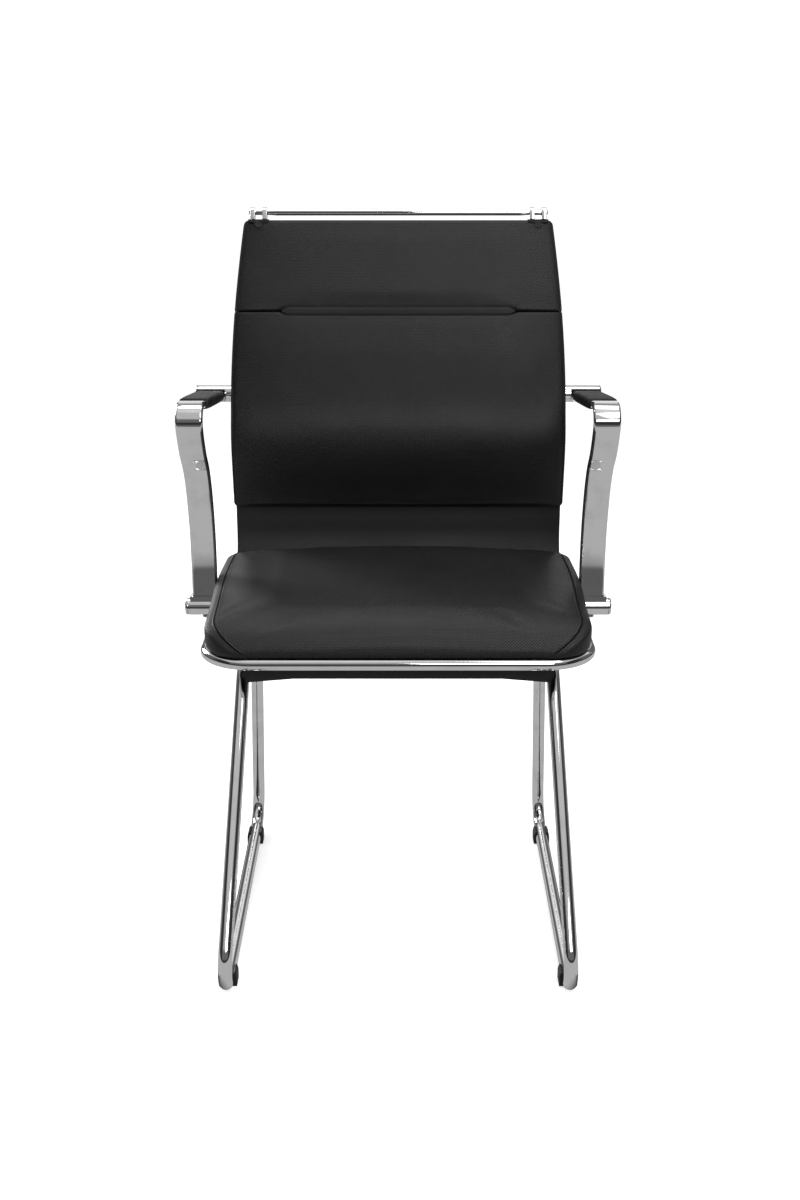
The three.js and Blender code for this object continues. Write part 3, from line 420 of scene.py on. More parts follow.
def leather_material(name, perforated, tone=1.0):
    """Pebbled leather: cell creases, pores and tone clouds, with needle holes on the perforated kind."""
    material, shade = new_shade(name)
    place = shade.place()
    crease = shade.cells(place, 820.0, "DISTANCE_TO_EDGE")
    pebble = crease.smooth(0.0, 0.22)
    pore = shade.noise(place, 2600.0, 2.0)
    cloud = shade.noise(place, 14.0, 4.0).smooth(0.3, 0.7)
    worn = shade.node("NewGeometry", out="Pointiness").smooth(0.52, 0.6)
    dark, light = ((value * tone, value * tone, (value + 0.0002) * tone, 1) for value in (0.004, 0.0065))
    base = cloud.mix(dark, light)
    base = (worn * 0.5).mix(base, (0.016, 0.016, 0.017, 1))
    # Painted shade: the creases between the pebbles are darkened in the colour.
    base = (1.0 - pebble).mix(base, (0.002, 0.002, 0.002, 1))
    height = pebble * 0.6 + pore * 0.25
    rough = 0.48 - pebble * 0.1 + cloud * 0.06 + (1 - tone) * 0.4
    if perforated:
        holes = hole_mask(shade)
        # The holes are real; their dark colour is painted shade inside them.
        base = holes.mix(base, (0.0015, 0.0015, 0.0015, 1))
        height = height - holes * 6.0
        rough = rough + holes * 0.4
    shade.surface(Base_Color=base, Roughness=rough, Normal=shade.bump(height, 0.00014, 0.75))
    return material


def thread_material():
    """Twisted black thread: fine diagonal ridges, a little shinier than the leather."""
    material, shade = new_shade("black_thread")
    place = shade.place()
    twist = shade.node("TexWave", {"bands_direction": "DIAGONAL"}, {"Vector": place, "Scale": 1500.0})
    # Painted shade: the twist's grooves are coloured darker than its ridges.
    tone = twist.mix((0.006, 0.006, 0.006, 1), (0.024, 0.024, 0.025, 1))
    shade.surface(Base_Color=tone, Roughness=twist * 0.2 + 0.35, Normal=shade.bump(twist, 0.00006, 0.8))
    return material


leather_holes = leather_material("leather_perforated", True)
leather_plain = leather_material("leather_plain", False, 0.6)
leather_welt = leather_material("leather_welt", False, 0.5)
thread = thread_material()
print("soft finishes:", leather_holes.name, leather_plain.name, leather_welt.name, thread.name)

# %% [markdown]
# Every new surface is a grid: rows of points along the piece, and columns of points round it. Extruding
# and bending by hand would give the same forms, but a grid is one formula and keeps its rows even. Its
# faces follow from its size alone: quads between the rows, and a fan or a strip over each end.

# %% Faces of a grid


def grid_faces(rows, columns):
    """Four corners a quad, for every step along the grid and round it."""
    row, column = np.meshgrid(np.arange(rows - 1), np.arange(columns), indexing="ij")
    here = row * columns + column
    beside = row * columns + (column + 1) % columns
    return np.stack([here, beside, beside + columns, here + columns], -1).reshape(-1, 4)


def fan_faces(ring, middle):
    """Triangles from each edge of a closed ring of point numbers to one middle point."""
    return np.stack([ring, np.roll(ring, -1), np.full(len(ring), middle)], 1)


def enclosed_volume(points, faces):
    """Sum over triangles of a . (b x c) / 6: positive where the faces look outward."""
    total = 0.0
    for corners in faces:
        fans = [(0, 1, 2)] if corners.shape[1] == 3 else [(0, 1, 2), (0, 2, 3)]
        for order in fans:
            a, b, c = (points[corners[:, k]] for k in order)
            total += np.einsum("ij,ij->i", a, np.cross(b, c)).sum() / 6
    return total


def strip_faces(ring):
    """Quads that close a ring whose second half runs back beside its first."""
    half = len(ring) // 2
    out, home = ring[:half], ring[half:][::-1]
    return np.stack([out[:-1], home[:-1], home[1:], out[1:]], 1)


print("faces of a grid of 3 rows and 8 columns:", len(grid_faces(3, 8)))

# %% [markdown]
# The faces have to look outward, or a bevel turns inward and a printed shape is hollow. Blender could
# recalculate them, but a closed surface tells it by itself: the volume that it encloses is positive only
# when they do. A piece then gets its finish, its marks for the needle holes and its place in the chair.

# %% Grids become meshes


def mesh_object(name, points, faces, material):
    """A smooth mesh object from points in millimetres, with its faces turned to look outward."""
    if enclosed_volume(points, faces) < 0:
        faces = [corners[:, ::-1] for corners in faces]
    mesh = bpy.data.meshes.new(name)
    mesh.from_pydata((points * MM).tolist(), [], [face for corners in faces for face in corners.tolist()])
    mesh.validate()
    mesh.polygons.foreach_set("use_smooth", np.ones(len(mesh.polygons), bool))
    mesh.materials.append(material)
    made = bpy.data.objects.new(name, mesh)
    bpy.context.scene.collection.objects.link(made)
    return made


def grid_object(name, grid, material, ends="fan", marks=None, sharp=40):
    """A mesh object from a grid in millimetres: rows along, columns round, both ends closed."""
    rows, columns = grid.shape[:2]
    points = grid.reshape(-1, 3)
    faces = [grid_faces(rows, columns)]
    rings = [np.arange(columns)[::-1], np.arange(columns) + (rows - 1) * columns]
    if ends == "fan":
        faces.append(np.concatenate([fan_faces(ring, len(points) + k) for k, ring in enumerate(rings)]))
        points = np.concatenate([points, [points[ring].mean(0) for ring in rings]])
    if ends == "strip":
        faces.append(np.concatenate([strip_faces(rings[0][::-1])[:, ::-1], strip_faces(rings[1])]))
    made = mesh_object(name, points, faces, material)
    made.data.set_sharp_from_angle(angle=math.radians(sharp))
    for label, values in (marks or {}).items():
        flat = np.zeros(len(points), np.float32)
        flat[: rows * columns] = np.broadcast_to(values, (rows, columns)).reshape(-1)
        made.data.attributes.new(label, "FLOAT", "POINT").data.foreach_set("value", flat)
    return made


def settle(piece, slot, *nodes):
    """The piece moves with the chair and stands for CAD nodes, which it hides. Its slot is not used."""
    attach(piece, ROOT)
    if nodes:
        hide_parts(*nodes)
    return piece


print("grid tools ready: one unit is", MM, "m")

# %% [markdown]
# Most of the chair is bent from bar, tube or sheet, so most pieces are an outline carried along a path.
# Blender's curve objects can do that too. Here both are arrays, so that an end ring can be notched and a
# section can swell.

# %% Outlines


def unit(vectors):
    """Vectors of length one, whatever the array's shape."""
    return vectors / np.linalg.norm(vectors, axis=-1, keepdims=True)


def sweep(path, ways, across, outline):
    """Every path point carries the outline: its first column goes along across, its second square to both."""
    up = unit(np.cross(ways, across))
    across = np.broadcast_to(across, path.shape)
    first = across[:, None, :] * outline[None, :, 0, None]
    return path[:, None, :] + first + up[:, None, :] * outline[None, :, 1, None]


def circle(radius, facets=40):
    """Points of radius r at even angles."""
    angle = np.linspace(0, 2 * np.pi, facets, endpoint=False)
    return radius * np.stack([np.cos(angle), np.sin(angle)], 1)


def rounded_bar(width, height, radius, steps=8):
    """A rectangle whose corners are quarter circles."""
    angle = np.linspace(0, np.pi / 2, steps)
    corners = []
    for quarter, (sx, sy) in enumerate([(1, 1), (-1, 1), (-1, -1), (1, -1)]):
        turned = angle + quarter * np.pi / 2
        middle = np.array([sx * (width / 2 - radius), sy * (height / 2 - radius)])
        corners.append(middle + radius * np.stack([np.cos(turned), np.sin(turned)], 1))
    return np.concatenate(corners)


print("outlines ready: a round one has", len(circle(1.0)), "points")

# %% [markdown]
# A path is bent in two ways. Tube and bar turn in true arcs, as a bending machine makes them, and an arm
# or a back runs through measured points as a soft curve. Curve handles could be set for both, but these
# functions also give the way of travel at every point, which the sweep needs.

# %% Paths


def filleted(corners, radius, steps=16):
    """A path through corner points whose corners are arcs: points and directions along it."""
    corners = np.asarray(corners, float)
    path, ways = [corners[0]], [unit(corners[1] - corners[0])]
    for before, here, after in zip(corners[:-2], corners[1:-1], corners[2:]):
        inward, outward = unit(here - before), unit(after - here)
        turn = math.acos(np.clip(inward @ outward, -1, 1))
        side = unit(outward - inward * math.cos(turn))
        start = here - inward * radius * math.tan(turn / 2)
        for angle in np.linspace(0, turn, steps):
            path.append(start + inward * radius * math.sin(angle) + side * radius * (1 - math.cos(angle)))
            ways.append(inward * math.cos(angle) + side * math.sin(angle))
    path.append(corners[-1])
    ways.append(unit(corners[-1] - corners[-2]))
    return np.array(path), np.array(ways)


def soft_curve(points, per_span):
    """Cubic spans through points. A knot step is the square root of its chord, so no loop forms."""
    points = np.asarray(points, float)
    padded = np.concatenate([[2 * points[0] - points[1]], points, [2 * points[-1] - points[-2]]])
    step = np.linalg.norm(np.diff(padded, axis=0), axis=1) ** 0.5
    p0, p1, p2, p3 = padded[:-3], padded[1:-2], padded[2:-1], padded[3:]
    d0, d1, d2 = (value[:, None] for value in (step[:-2], step[1:-1], step[2:]))
    start = ((p1 - p0) / d0 - (p2 - p0) / (d0 + d1) + (p2 - p1) / d1) * d1
    end = ((p2 - p1) / d1 - (p3 - p1) / (d1 + d2) + (p3 - p2) / d2) * d1
    t = np.linspace(0, 1, per_span, endpoint=False)[None, :, None]
    a, b, u, v = (value[:, None, :] for value in (p1, p2, start, end))
    curve = a + u * t + (3 * (b - a) - 2 * u - v) * t**2 + (2 * (a - b) + u + v) * t**3
    return np.concatenate([curve.reshape(-1, points.shape[1]), points[-1:]])


def directions(path):
    """The way along a path at each point, from its neighbours."""
    return unit(np.gradient(path, axis=0))


def smooth_share(value):
    """0 to 1 with a soft start and end."""
    value = np.clip(value, 0, 1)
    return value * value * (3 - 2 * value)


print("a fillet has", len(filleted([(0, 0), (9, 0), (9, 9)], 1.0)[0]), "points")

# %% [markdown]
# The sled is one tube a side, bent in a plane that leans in towards the seat. It is a closed loop with a
# butt joint under the seat. A real bender draws 18 mm tube round a former, so every bend has the same
# radius. A curve with a bevel depth could show it. The circle is carried along the loop here, because
# that also closes the two ends at the joint.

# %% Sled tubes
HALF_WIDTH = 251.0
SLED_INSET, SLED_SPLAY = 46.5, 14.8
SLED_TOP_HALF = HALF_WIDTH - SLED_INSET
SLED_FOOT_HALF = SLED_TOP_HALF + SLED_SPLAY
SLED_RADIUS, SLED_BEND = 9.0, 38.0
SLED_FLOOR, SLED_TOP = 12.0, 375.0
BUTT_JOINT, SLED_BUTT_HALF = 275.0, 0.3
FRONT_LEG_TOP, FRONT_LEG_FOOT = 174.0, -76.0
REAR_LEG_TOP, REAR_LEG_FOOT = 376.0, 503.0
LOWER_TUBE_BACK = 358.8


def middle_of(node):
    """The middle of a CAD node's box, in millimetres."""
    low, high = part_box(node)
    return np.array((low + high) / 2) / MM


BACK_SHIFT = middle_of("lower_cross_tube")[1] - LOWER_TUBE_BACK
SIDES = {"left": -1, "right": 1}


def back(value):
    """A distance back from the front foot becomes a place along Y."""
    return value + BACK_SHIFT


def sled_path(side):
    """The loop from its butt joint under the seat: front leg, floor rail and rear leg."""
    def corner(y, level):
        """A corner of the loop: its width goes with the level in a straight line."""
        share = (level - SLED_FLOOR) / (SLED_TOP - SLED_FLOOR)
        return side * (SLED_FOOT_HALF + (SLED_TOP_HALF - SLED_FOOT_HALF) * share), back(y), level

    corners = [
        corner(BUTT_JOINT - SLED_BUTT_HALF, SLED_TOP), corner(FRONT_LEG_TOP, SLED_TOP),
        corner(FRONT_LEG_FOOT, SLED_FLOOR), corner(REAR_LEG_FOOT, SLED_FLOOR),
        corner(REAR_LEG_TOP, SLED_TOP), corner(BUTT_JOINT + SLED_BUTT_HALF, SLED_TOP),
    ]
    path, ways = filleted(corners, SLED_BEND)
    across = unit(np.cross(np.subtract(corners[2], corners[1]), np.subtract(corners[3], corners[2])))
    return path, ways, across


for label, side in SIDES.items():
    path, ways, across = sled_path(side)
    tube = grid_object(f"sled_loop_{label}", sweep(path, ways, across, circle(SLED_RADIUS, 48)), chrome)
    settle(tube, "polished_chrome", f"sled_tube_{label}")
print("sled loops:", len(SIDES), "with", len(path), "rings each")

# %% [markdown]
# The seat tube is a U that runs round the cushion. Its ends are notched like a fish's mouth, so that they
# close on the round cross tube. A boolean cut could do that, but it leaves ragged faces. So each end ring
# is moved back until it lies on that tube's skin.

# %% Seat tube
SEAT_TUBE_RADIUS, SEAT_TUBE_LEVEL = 8.0, 404.6
SEAT_TUBE_FRONT, SEAT_TUBE_BEND = 98.5, 62.0
CROSS_RADIUS = 12.5
LOWER_LEVEL = 401.7
FIT = 0.3


def seat_tube_grid():
    """The U's sweep, its two end rings shifted to y = tube - sqrt(R^2 - dz^2)."""
    end = back(LOWER_TUBE_BACK)
    front = back(SEAT_TUBE_FRONT)
    corners = [(-HALF_WIDTH, end), (-HALF_WIDTH, front), (HALF_WIDTH, front), (HALF_WIDTH, end)]
    path, ways = filleted([(x, y, SEAT_TUBE_LEVEL) for x, y in corners], SEAT_TUBE_BEND, 28)
    grid = sweep(path, ways, np.array([0.0, 0, 1]), circle(SEAT_TUBE_RADIUS, 48))
    skin = CROSS_RADIUS + FIT
    for row in (0, -1):
        drop = grid[row, :, 2] - LOWER_LEVEL
        grid[row, :, 1] = end - np.sqrt(skin**2 - np.clip(drop, -skin, skin) ** 2)
    return grid


settle(grid_object("seat_tube", seat_tube_grid(), chrome), "polished_chrome", "seat_frame_tube")
print("seat tube:", 2 * (HALF_WIDTH + SEAT_TUBE_RADIUS), "mm wide")

# %% [markdown]
# Four small steel tabs are welded to the seat tube, and the shell's screws go up through them. A bevelled
# cube would do. They are rounded outlines stacked in four layers here, like every other plate, and their
# upper face is level with the shell's underside.

# %% Screw tabs
SHELL_UNDER = LOWER_LEVEL + CROSS_RADIUS + FIT
TAB_LENGTH, TAB_WIDTH, TAB_CORNER = 37.0, 30.0, 4.0
TAB_HALF_THICK, TAB_EASE = 1.5, 0.5
TAB_LEVEL = SHELL_UNDER - FIT - TAB_HALF_THICK
TAB_PLACES = {"front": 176, "rear": 300}


def tab_grid(side, y):
    """A rounded steel tab: a rounded bar outline, swept through its sheet with eased edges."""
    outline = rounded_bar(TAB_LENGTH, TAB_WIDTH, TAB_CORNER)
    inset = np.array([TAB_EASE, 0.0, 0.0, TAB_EASE])
    flank = TAB_HALF_THICK - TAB_EASE
    levels = np.array([-TAB_HALF_THICK, -flank, flank, TAB_HALF_THICK]) + TAB_LEVEL
    scale = 1 - inset[:, None, None] / (TAB_WIDTH / 2)
    flat = outline[None] * scale
    grid = np.empty((4, len(outline), 3))
    grid[..., 0] = flat[..., 0] + side * (HALF_WIDTH - TAB_LENGTH / 2)
    grid[..., 1] = flat[..., 1] + back(y)
    grid[..., 2] = levels[:, None]
    return grid


for label, side in SIDES.items():
    for place, y in TAB_PLACES.items():
        settle(grid_object(f"seat_tab_{place}_{label}", tab_grid(side, y), chrome), "polished_chrome")
print("screw tabs:", len(SIDES) * len(TAB_PLACES))

# %% [markdown]
# Things that were turned on a lathe stay turned here: a profile of radius against place, carried round
# the X axis. Blender's Spin tool does that too, but it leaves doubled points where a turn closes. An end
# is eased by a quarter circle in its profile.

# %% Lathe profiles


def turned(profile, middle, facets=56):
    """Rings of a lathe profile: columns of (radius, place along X) turned about X through the middle."""
    angle = np.linspace(0, 2 * np.pi, facets, endpoint=False)
    profile = np.asarray(profile, float)
    grid = np.empty((len(profile), facets, 3))
    grid[..., 0] = profile[:, 1, None] + middle[0]
    grid[..., 1] = profile[:, 0, None] * np.cos(angle) + middle[1]
    grid[..., 2] = profile[:, 0, None] * np.sin(angle) + middle[2]
    return grid


def eased_end(radius, end, ease, steps=6):
    """The last stretch of a profile: a quarter circle from the side to the end face."""
    angle = np.linspace(0, np.pi / 2, steps)
    return [(radius - ease * (1 - math.cos(a)), end - ease * (1 - math.sin(a))) for a in angle]


print("an eased end has", len(eased_end(CROSS_RADIUS, 0.0, 1.0)), "rings")

# %% [markdown]
# The two cross tubes are plain pipe, and each end has a pressed cap with an eased rim. A cylinder with a
# bevel would be near, but a profile also gives the pipe's bore and the cap's plug inside it.

# %% Cross tubes and caps
PIPE_WALL, RIM_EASE = 2.0, 0.4
CAP_HEAD, CAP_PLUG, CAP_ROUND = 4.0, 12.0, 3.0


def cap_profile(half, side):
    """A plug in the pipe, a rim as wide as the pipe and a rounded face."""
    bore = CROSS_RADIUS - PIPE_WALL - FIT
    inner = half - CAP_HEAD
    profile = [(bore, inner - CAP_PLUG), (bore, inner)]
    profile += [(CROSS_RADIUS - RIM_EASE, inner), (CROSS_RADIUS, inner + RIM_EASE)]
    profile += eased_end(CROSS_RADIUS, half, CAP_ROUND)
    profile += [(4.0, half), (0.4, half)]
    return [(radius, side * place) for radius, place in profile]


def pipe_profile(half):
    """The pipe's skin with slightly eased rims that turn into its bore."""
    rim = half - CAP_HEAD - FIT
    bore = CROSS_RADIUS - PIPE_WALL
    one = [(CROSS_RADIUS, rim - RIM_EASE), (CROSS_RADIUS - RIM_EASE, rim)]
    one += [(bore, rim), (bore, rim - CAP_PLUG - 2)]
    return [(radius, -place) for radius, place in reversed(one)] + one


ARM_CENTRE = HALF_WIDTH + 23.5
TUBE_HALVES = {"lower": ARM_CENTRE + 28.5, "upper": ARM_CENTRE + 23.5}
for label, half in TUBE_HALVES.items():
    middle = middle_of(f"{label}_cross_tube")
    pipe = grid_object(f"{label}_pipe", turned(pipe_profile(half), middle), chrome)
    settle(pipe, "polished_chrome", f"{label}_cross_tube")
    for name, side in SIDES.items():
        cap = grid_object(f"{label}_pipe_cap_{name}", turned(cap_profile(half, side), middle), chrome)
        settle(cap, "polished_chrome", f"{label}_tube_cap_{name}")
print("cross tubes reach", TUBE_HALVES, "mm from the middle")

# %% [markdown]
# The rail above the back is a thin bar, turned down to a neck near both ends, where the bands hold it.
# The neck falls in a soft S, as a form tool leaves it. It could be a pipe with thinner pipes at its ends,
# but then the step would be sharp. So it is one lathe profile, mirrored about the middle.

# %% Handle rail
RAIL_RADIUS, NECK_RADIUS = 4.7, 3.9
RAIL_HALF = HALF_WIDTH - 34.0
NECK_LENGTH, NECK_SLOPE, NECK_ROUND = 29.0, 12.0, 1.9
NECK_START = RAIL_HALF - NECK_LENGTH


def rail_profile():
    """A straight rail that necks down through a soft S before its ends, which are domed."""
    share = np.linspace(0, 1, 10)
    soft = smooth_share(share)
    radius = RAIL_RADIUS + (NECK_RADIUS - RAIL_RADIUS) * soft
    half = list(zip(radius, NECK_START - NECK_SLOPE * (1 - share)))
    half += eased_end(NECK_RADIUS, RAIL_HALF, NECK_ROUND) + [(0.3, RAIL_HALF)]
    return [(radius, -place) for radius, place in reversed(half)] + half


rail_middle = middle_of("handle_rail")
rail = grid_object("top_rail", turned(rail_profile(), rail_middle), chrome)
settle(rail, "polished_chrome", "handle_rail")
print("handle rail:", 2 * RAIL_HALF, "mm long")

# %% [markdown]
# One line carries the whole seat: level under the cushion, a tight heel, forward at the lumbar and
# leaning at the top. It is a straight run, one cubic for the heel and a curve through five levels. A
# lattice could bend a flat sheet like that, but then no other piece would know where its face is.
# Everything that lies on the shell is measured from this line: how far along, how far across and how far
# out towards the sitter.

# %% The shell's line
SHELL_THICK, SHELL_FRONT = 9.0, 112.0
HEEL_START = 425.0
HEEL_END = (503.5, 486.0)
HEEL_TENSION = 0.62
BACK_LEVELS = [HEEL_END, (506.5, 528.0), (491.5, 616.0), (504.5, 664.0), (530.5, 787.0), (574.5, 921.0)]
SEAT_LINE = SHELL_UNDER + SHELL_THICK / 2


def shell_line():
    """Points (Y, Z) of the shell's middle line from the seat's front edge to the top of the back."""
    straight = np.linspace((SHELL_FRONT, SEAT_LINE), (HEEL_START, SEAT_LINE), 80)
    run, rise = HEEL_END[0] - HEEL_START, HEEL_END[1] - SEAT_LINE
    pull = [(HEEL_START + HEEL_TENSION * run, SEAT_LINE), (HEEL_END[0], HEEL_END[1] - HEEL_TENSION * rise)]
    t = np.linspace(0, 1, 60)[:, None]
    a, b, c, d = (np.array(point) for point in ((HEEL_START, SEAT_LINE), *pull, HEEL_END))
    heel = (1 - t) ** 3 * a + 3 * t * (1 - t) ** 2 * b + 3 * t**2 * (1 - t) * c + t**3 * d
    rise_line = soft_curve(BACK_LEVELS, 40)
    line = np.concatenate([straight, heel[1:], rise_line[1:]])
    line[:, 0] = back(line[:, 0])
    return line


LINE = shell_line()
LINE_ALONG = np.concatenate([[0], np.cumsum(np.linalg.norm(np.diff(LINE, axis=0), axis=1))])
LINE_WAY = directions(LINE)
SHELL_LENGTH = LINE_ALONG[-1]


def on_line(along):
    """The line's point and its normal towards the sitter, at distances along it."""
    point = np.stack([np.interp(along, LINE_ALONG, LINE[:, k]) for k in (0, 1)], -1)
    way = unit(np.stack([np.interp(along, LINE_ALONG, LINE_WAY[:, k]) for k in (0, 1)], -1))
    return point, np.stack([-way[..., 1], way[..., 0]], -1)


def along_at_level(level):
    """How far along the line its back part reaches a level."""
    rear = LINE_ALONG > SHELL_LENGTH / 2
    return float(np.interp(level, LINE[rear, 1], LINE_ALONG[rear]))


def shell_place(across, along, out):
    """Points X = across, and Y, Z on the line moved out along its normal. All three share one shape."""
    along, across, out = np.broadcast_arrays(along, across, out)
    point, normal = on_line(along)
    return np.stack([across, point[..., 0] + normal[..., 0] * out, point[..., 1] + normal[..., 1] * out], -1)


print("shell line:", round(SHELL_LENGTH), "mm long in", len(LINE), "points")

# %% [markdown]
# Seen from the front, the shell widens a little up to the shoulder blades, tapers above them and has
# round corners. Its edge could be drawn point by point. Two small formulas hold it, because the panels,
# their piping and the strip in the seam all follow the same edge.

# %% The shell's edge
SHELL_SEAT_HALF = HALF_WIDTH - 11
SHELL_BACK_HALF = HALF_WIDTH - 9.2
TOP_DRAW_IN, TAPER_POWER = 20.3, 1.7
BLADE_LEVEL, TOP_LEVEL = 664.0, 921.0


def shell_half(along):
    """Half the shell's width: it widens a little up to the blade, then tapers by a power of the height."""
    level = on_line(along)[0][..., 1]
    lift = np.clip((level - SEAT_LINE) / (BLADE_LEVEL - SEAT_LINE), 0, 1)
    share = np.clip((level - BLADE_LEVEL) / (TOP_LEVEL - BLADE_LEVEL), 0, None)
    low = SHELL_SEAT_HALF + (SHELL_BACK_HALF - SHELL_SEAT_HALF) * np.minimum(1, 2 * lift)
    return low - TOP_DRAW_IN * share**TAPER_POWER


def corner_inset(distance, radius):
    """How far a rounded corner of that radius draws an edge in, at a distance from its end."""
    reach = np.clip(distance, 0, radius)
    return radius - np.sqrt(radius**2 - (radius - reach) ** 2)


print("shell width at the blades:", 2 * SHELL_BACK_HALF, "mm")

# %% [markdown]
# Sheet bent round a pipe is a strip: a line with a thickness, as wide as the strip is long. It could be a
# plane with a Solidify modifier. Here the outline's points run out along one face and back along the
# other, so that both rims are eased in the same grid.

# %% Bent strip
RIM_STEPS = 4


def offset_outline(line, thickness):
    """A closed outline from an open line: the line, then the same line moved square to itself, reversed."""
    way = directions(line)
    square = np.stack([-way[:, 1], way[:, 0]], 1)
    return np.concatenate([line, (line + square * thickness)[::-1]])


def strip_grid(outline, half_width, ease):
    """Rings across a strip: the outline shrinks by the ease at both rims. Columns follow the outline."""
    way = unit(np.roll(outline, -1, 0) - np.roll(outline, 1, 0))
    inward = np.stack([-way[:, 1], way[:, 0]], 1)
    area = (outline[:, 0] * np.roll(outline[:, 1], -1) - np.roll(outline[:, 0], -1) * outline[:, 1]).sum()
    inward = inward * np.sign(area)
    angle = np.linspace(0, np.pi / 2, RIM_STEPS)
    reach = half_width - ease * (1 - np.sin(angle))
    shrink = ease * (1 - np.cos(angle))
    places = np.concatenate([-reach[::-1], reach])
    flat = outline[None] + inward[None] * np.concatenate([shrink[::-1], shrink])[:, None, None]
    grid = np.empty((len(places), len(outline), 3))
    grid[..., 0] = places[:, None]
    grid[..., 1:] = flat
    return grid


def placed(grid, origin, first, second):
    """A strip's own (x, a, b) becomes origin + x along X + a along first + b along second."""
    moved = np.empty_like(grid)
    moved[...] = np.asarray(origin)
    moved[..., 0] += grid[..., 0]
    return moved + grid[..., 1, None] * np.asarray(first) + grid[..., 2, None] * np.asarray(second)


def arc_points(radius, first, last, steps=24):
    """Points of a circle about zero, from one angle to another."""
    angle = np.linspace(first, last, steps)
    return radius * np.stack([np.cos(angle), np.sin(angle)], 1)


print("rings across a strip:", 2 * RIM_STEPS)

# %% [markdown]
# Black steel clamps hang the shell on the two cross tubes. Each is an omega pressed from one strip: a
# foot, half a turn round the pipe and a second foot. A boolean cut in a block would give the same form,
# but not its even thickness. The foot is drawn once and mirrored. The screws through the feet are listed
# here and made later.

# %% Clamps on the cross tubes
CLAMP_FOOT, CLAMP_FOLD, CLAMP_SHEET = 17.5, 3.2, 2.5
CLAMP_HALF, CLAMP_EASE, CLAMP_SCREW = 11.0, 0.5, 22.8
UPPER_CLAMP_LEVEL = 681.5


def clamp_outline():
    """The omega seen along the pipe: a foot, half a turn under the pipe, and the mirrored foot."""
    inner = CROSS_RADIUS + FIT
    corners = [(-inner - CLAMP_FOOT, CROSS_RADIUS), (-inner, CROSS_RADIUS), (-inner, 0)]
    foot, _ = filleted(corners, CLAMP_FOLD, 8)
    under = arc_points(inner, np.pi, 2 * np.pi)[1:-1]
    return offset_outline(np.concatenate([foot, under, (foot * [-1, 1])[::-1]]), -CLAMP_SHEET)


UP = np.array([0.0, 0, 1])
Y_WAY = np.array([0.0, 1, 0])
SCREWS = []
upper_along = along_at_level(UPPER_CLAMP_LEVEL)
upper_normal = np.array([0, *on_line(np.array(upper_along))[1]])
upper_way = np.array([0, upper_normal[2], -upper_normal[1]])
CLAMPS = {
    "lower": (SLED_TOP_HALF - 86.5, Y_WAY, UP),
    "upper": (SHELL_BACK_HALF - TOP_DRAW_IN - 71.5, upper_way, upper_normal),
}
for label, (reach, first, second) in CLAMPS.items():
    for name, side in SIDES.items():
        middle = middle_of(f"{label}_cross_tube") + [side * reach, 0, 0]
        grid = placed(strip_grid(clamp_outline(), CLAMP_HALF, CLAMP_EASE), middle, first, second)
        clamp = grid_object(f"{label}_clamp_{name}", grid, powder_steel, ends="strip")
        settle(clamp, "black_steel", f"{label}_tube_clamp_{name}")
        for place, end in {"front": -1, "rear": 1}.items():
            seat = middle + first * end * CLAMP_SCREW + second * (CROSS_RADIUS - CLAMP_SHEET)
            SCREWS.append((f"clamp_screw_{label}_{name}_{place}", seat, second, None))
print("clamps:", len(CLAMPS) * len(SIDES))

# %% [markdown]
# Two pairs of chrome bands hold the rail above the back. Each is a leg, half a turn over the rail's neck
# and a second leg. A torus and two boxes would be near, but they would show a joint where the real band
# has none. So it is the same bent strip in a smaller size, turned with the top of the shell's line.

# %% Bands over the rail
BAND_LEG, BAND_SHEET, BAND_HALF, BAND_EASE = 11.4, 3.0, 3.35, 0.7
BAND_INSETS = {"inner": 23.3, "outer": 6.0}


def band_outline():
    """A leg, half a turn over the rail and a leg: (out, up) from where the band stands."""
    inner = NECK_RADIUS + FIT
    over = arc_points(inner, 0, np.pi) + [0, BAND_LEG]
    return offset_outline(np.concatenate([[(inner, FIT)], over, [(-inner, FIT)]]), -BAND_SHEET)


PAD_SEAT = SHELL_THICK / 2 + FIT
HANDLE_OUT = PAD_SEAT + 8.0
top_point, top_normal = on_line(np.array(SHELL_LENGTH))
top_normal = np.array([0, *top_normal])
top_up = np.array([0, top_normal[2], -top_normal[1]])
band_foot = np.array([0, *top_point]) + top_normal * HANDLE_OUT
for place, inset in BAND_INSETS.items():
    for name, side in SIDES.items():
        middle = band_foot + [side * (RAIL_HALF - inset), 0, 0]
        grid = placed(strip_grid(band_outline(), BAND_HALF, BAND_EASE), middle, top_normal, top_up)
        band = grid_object(f"rail_band_{place}_{name}", grid, chrome, ends="strip")
        settle(band, "polished_chrome", f"handle_band_{place}_{name}")
print("bands:", len(BAND_INSETS) * len(SIDES))

# %% [markdown]
# Every screw is the same pan head with a hexagon socket. Linked copies of one object would do, but the
# real ones point in four directions, and a grid in place needs no turning. Its rings run down the
# socket's wall, over the head and along the shank, and the socket's rings follow a hexagon instead of a
# circle.

# %% Form of a screw
HEAD_RADIUS, HEAD_HEIGHT, HEAD_EDGE = 4.8, 3.2, 1.2
SOCKET_HALF, SHANK_RADIUS, SHANK_SHOWN = 1.5, 2.5, 4.0


def hexagon_radius(angle, flat):
    """A hexagon's radius: the distance of its flats over the cosine of the angle from a flat's middle."""
    return flat / np.cos((angle + np.pi / 6) % (np.pi / 3) - np.pi / 6)


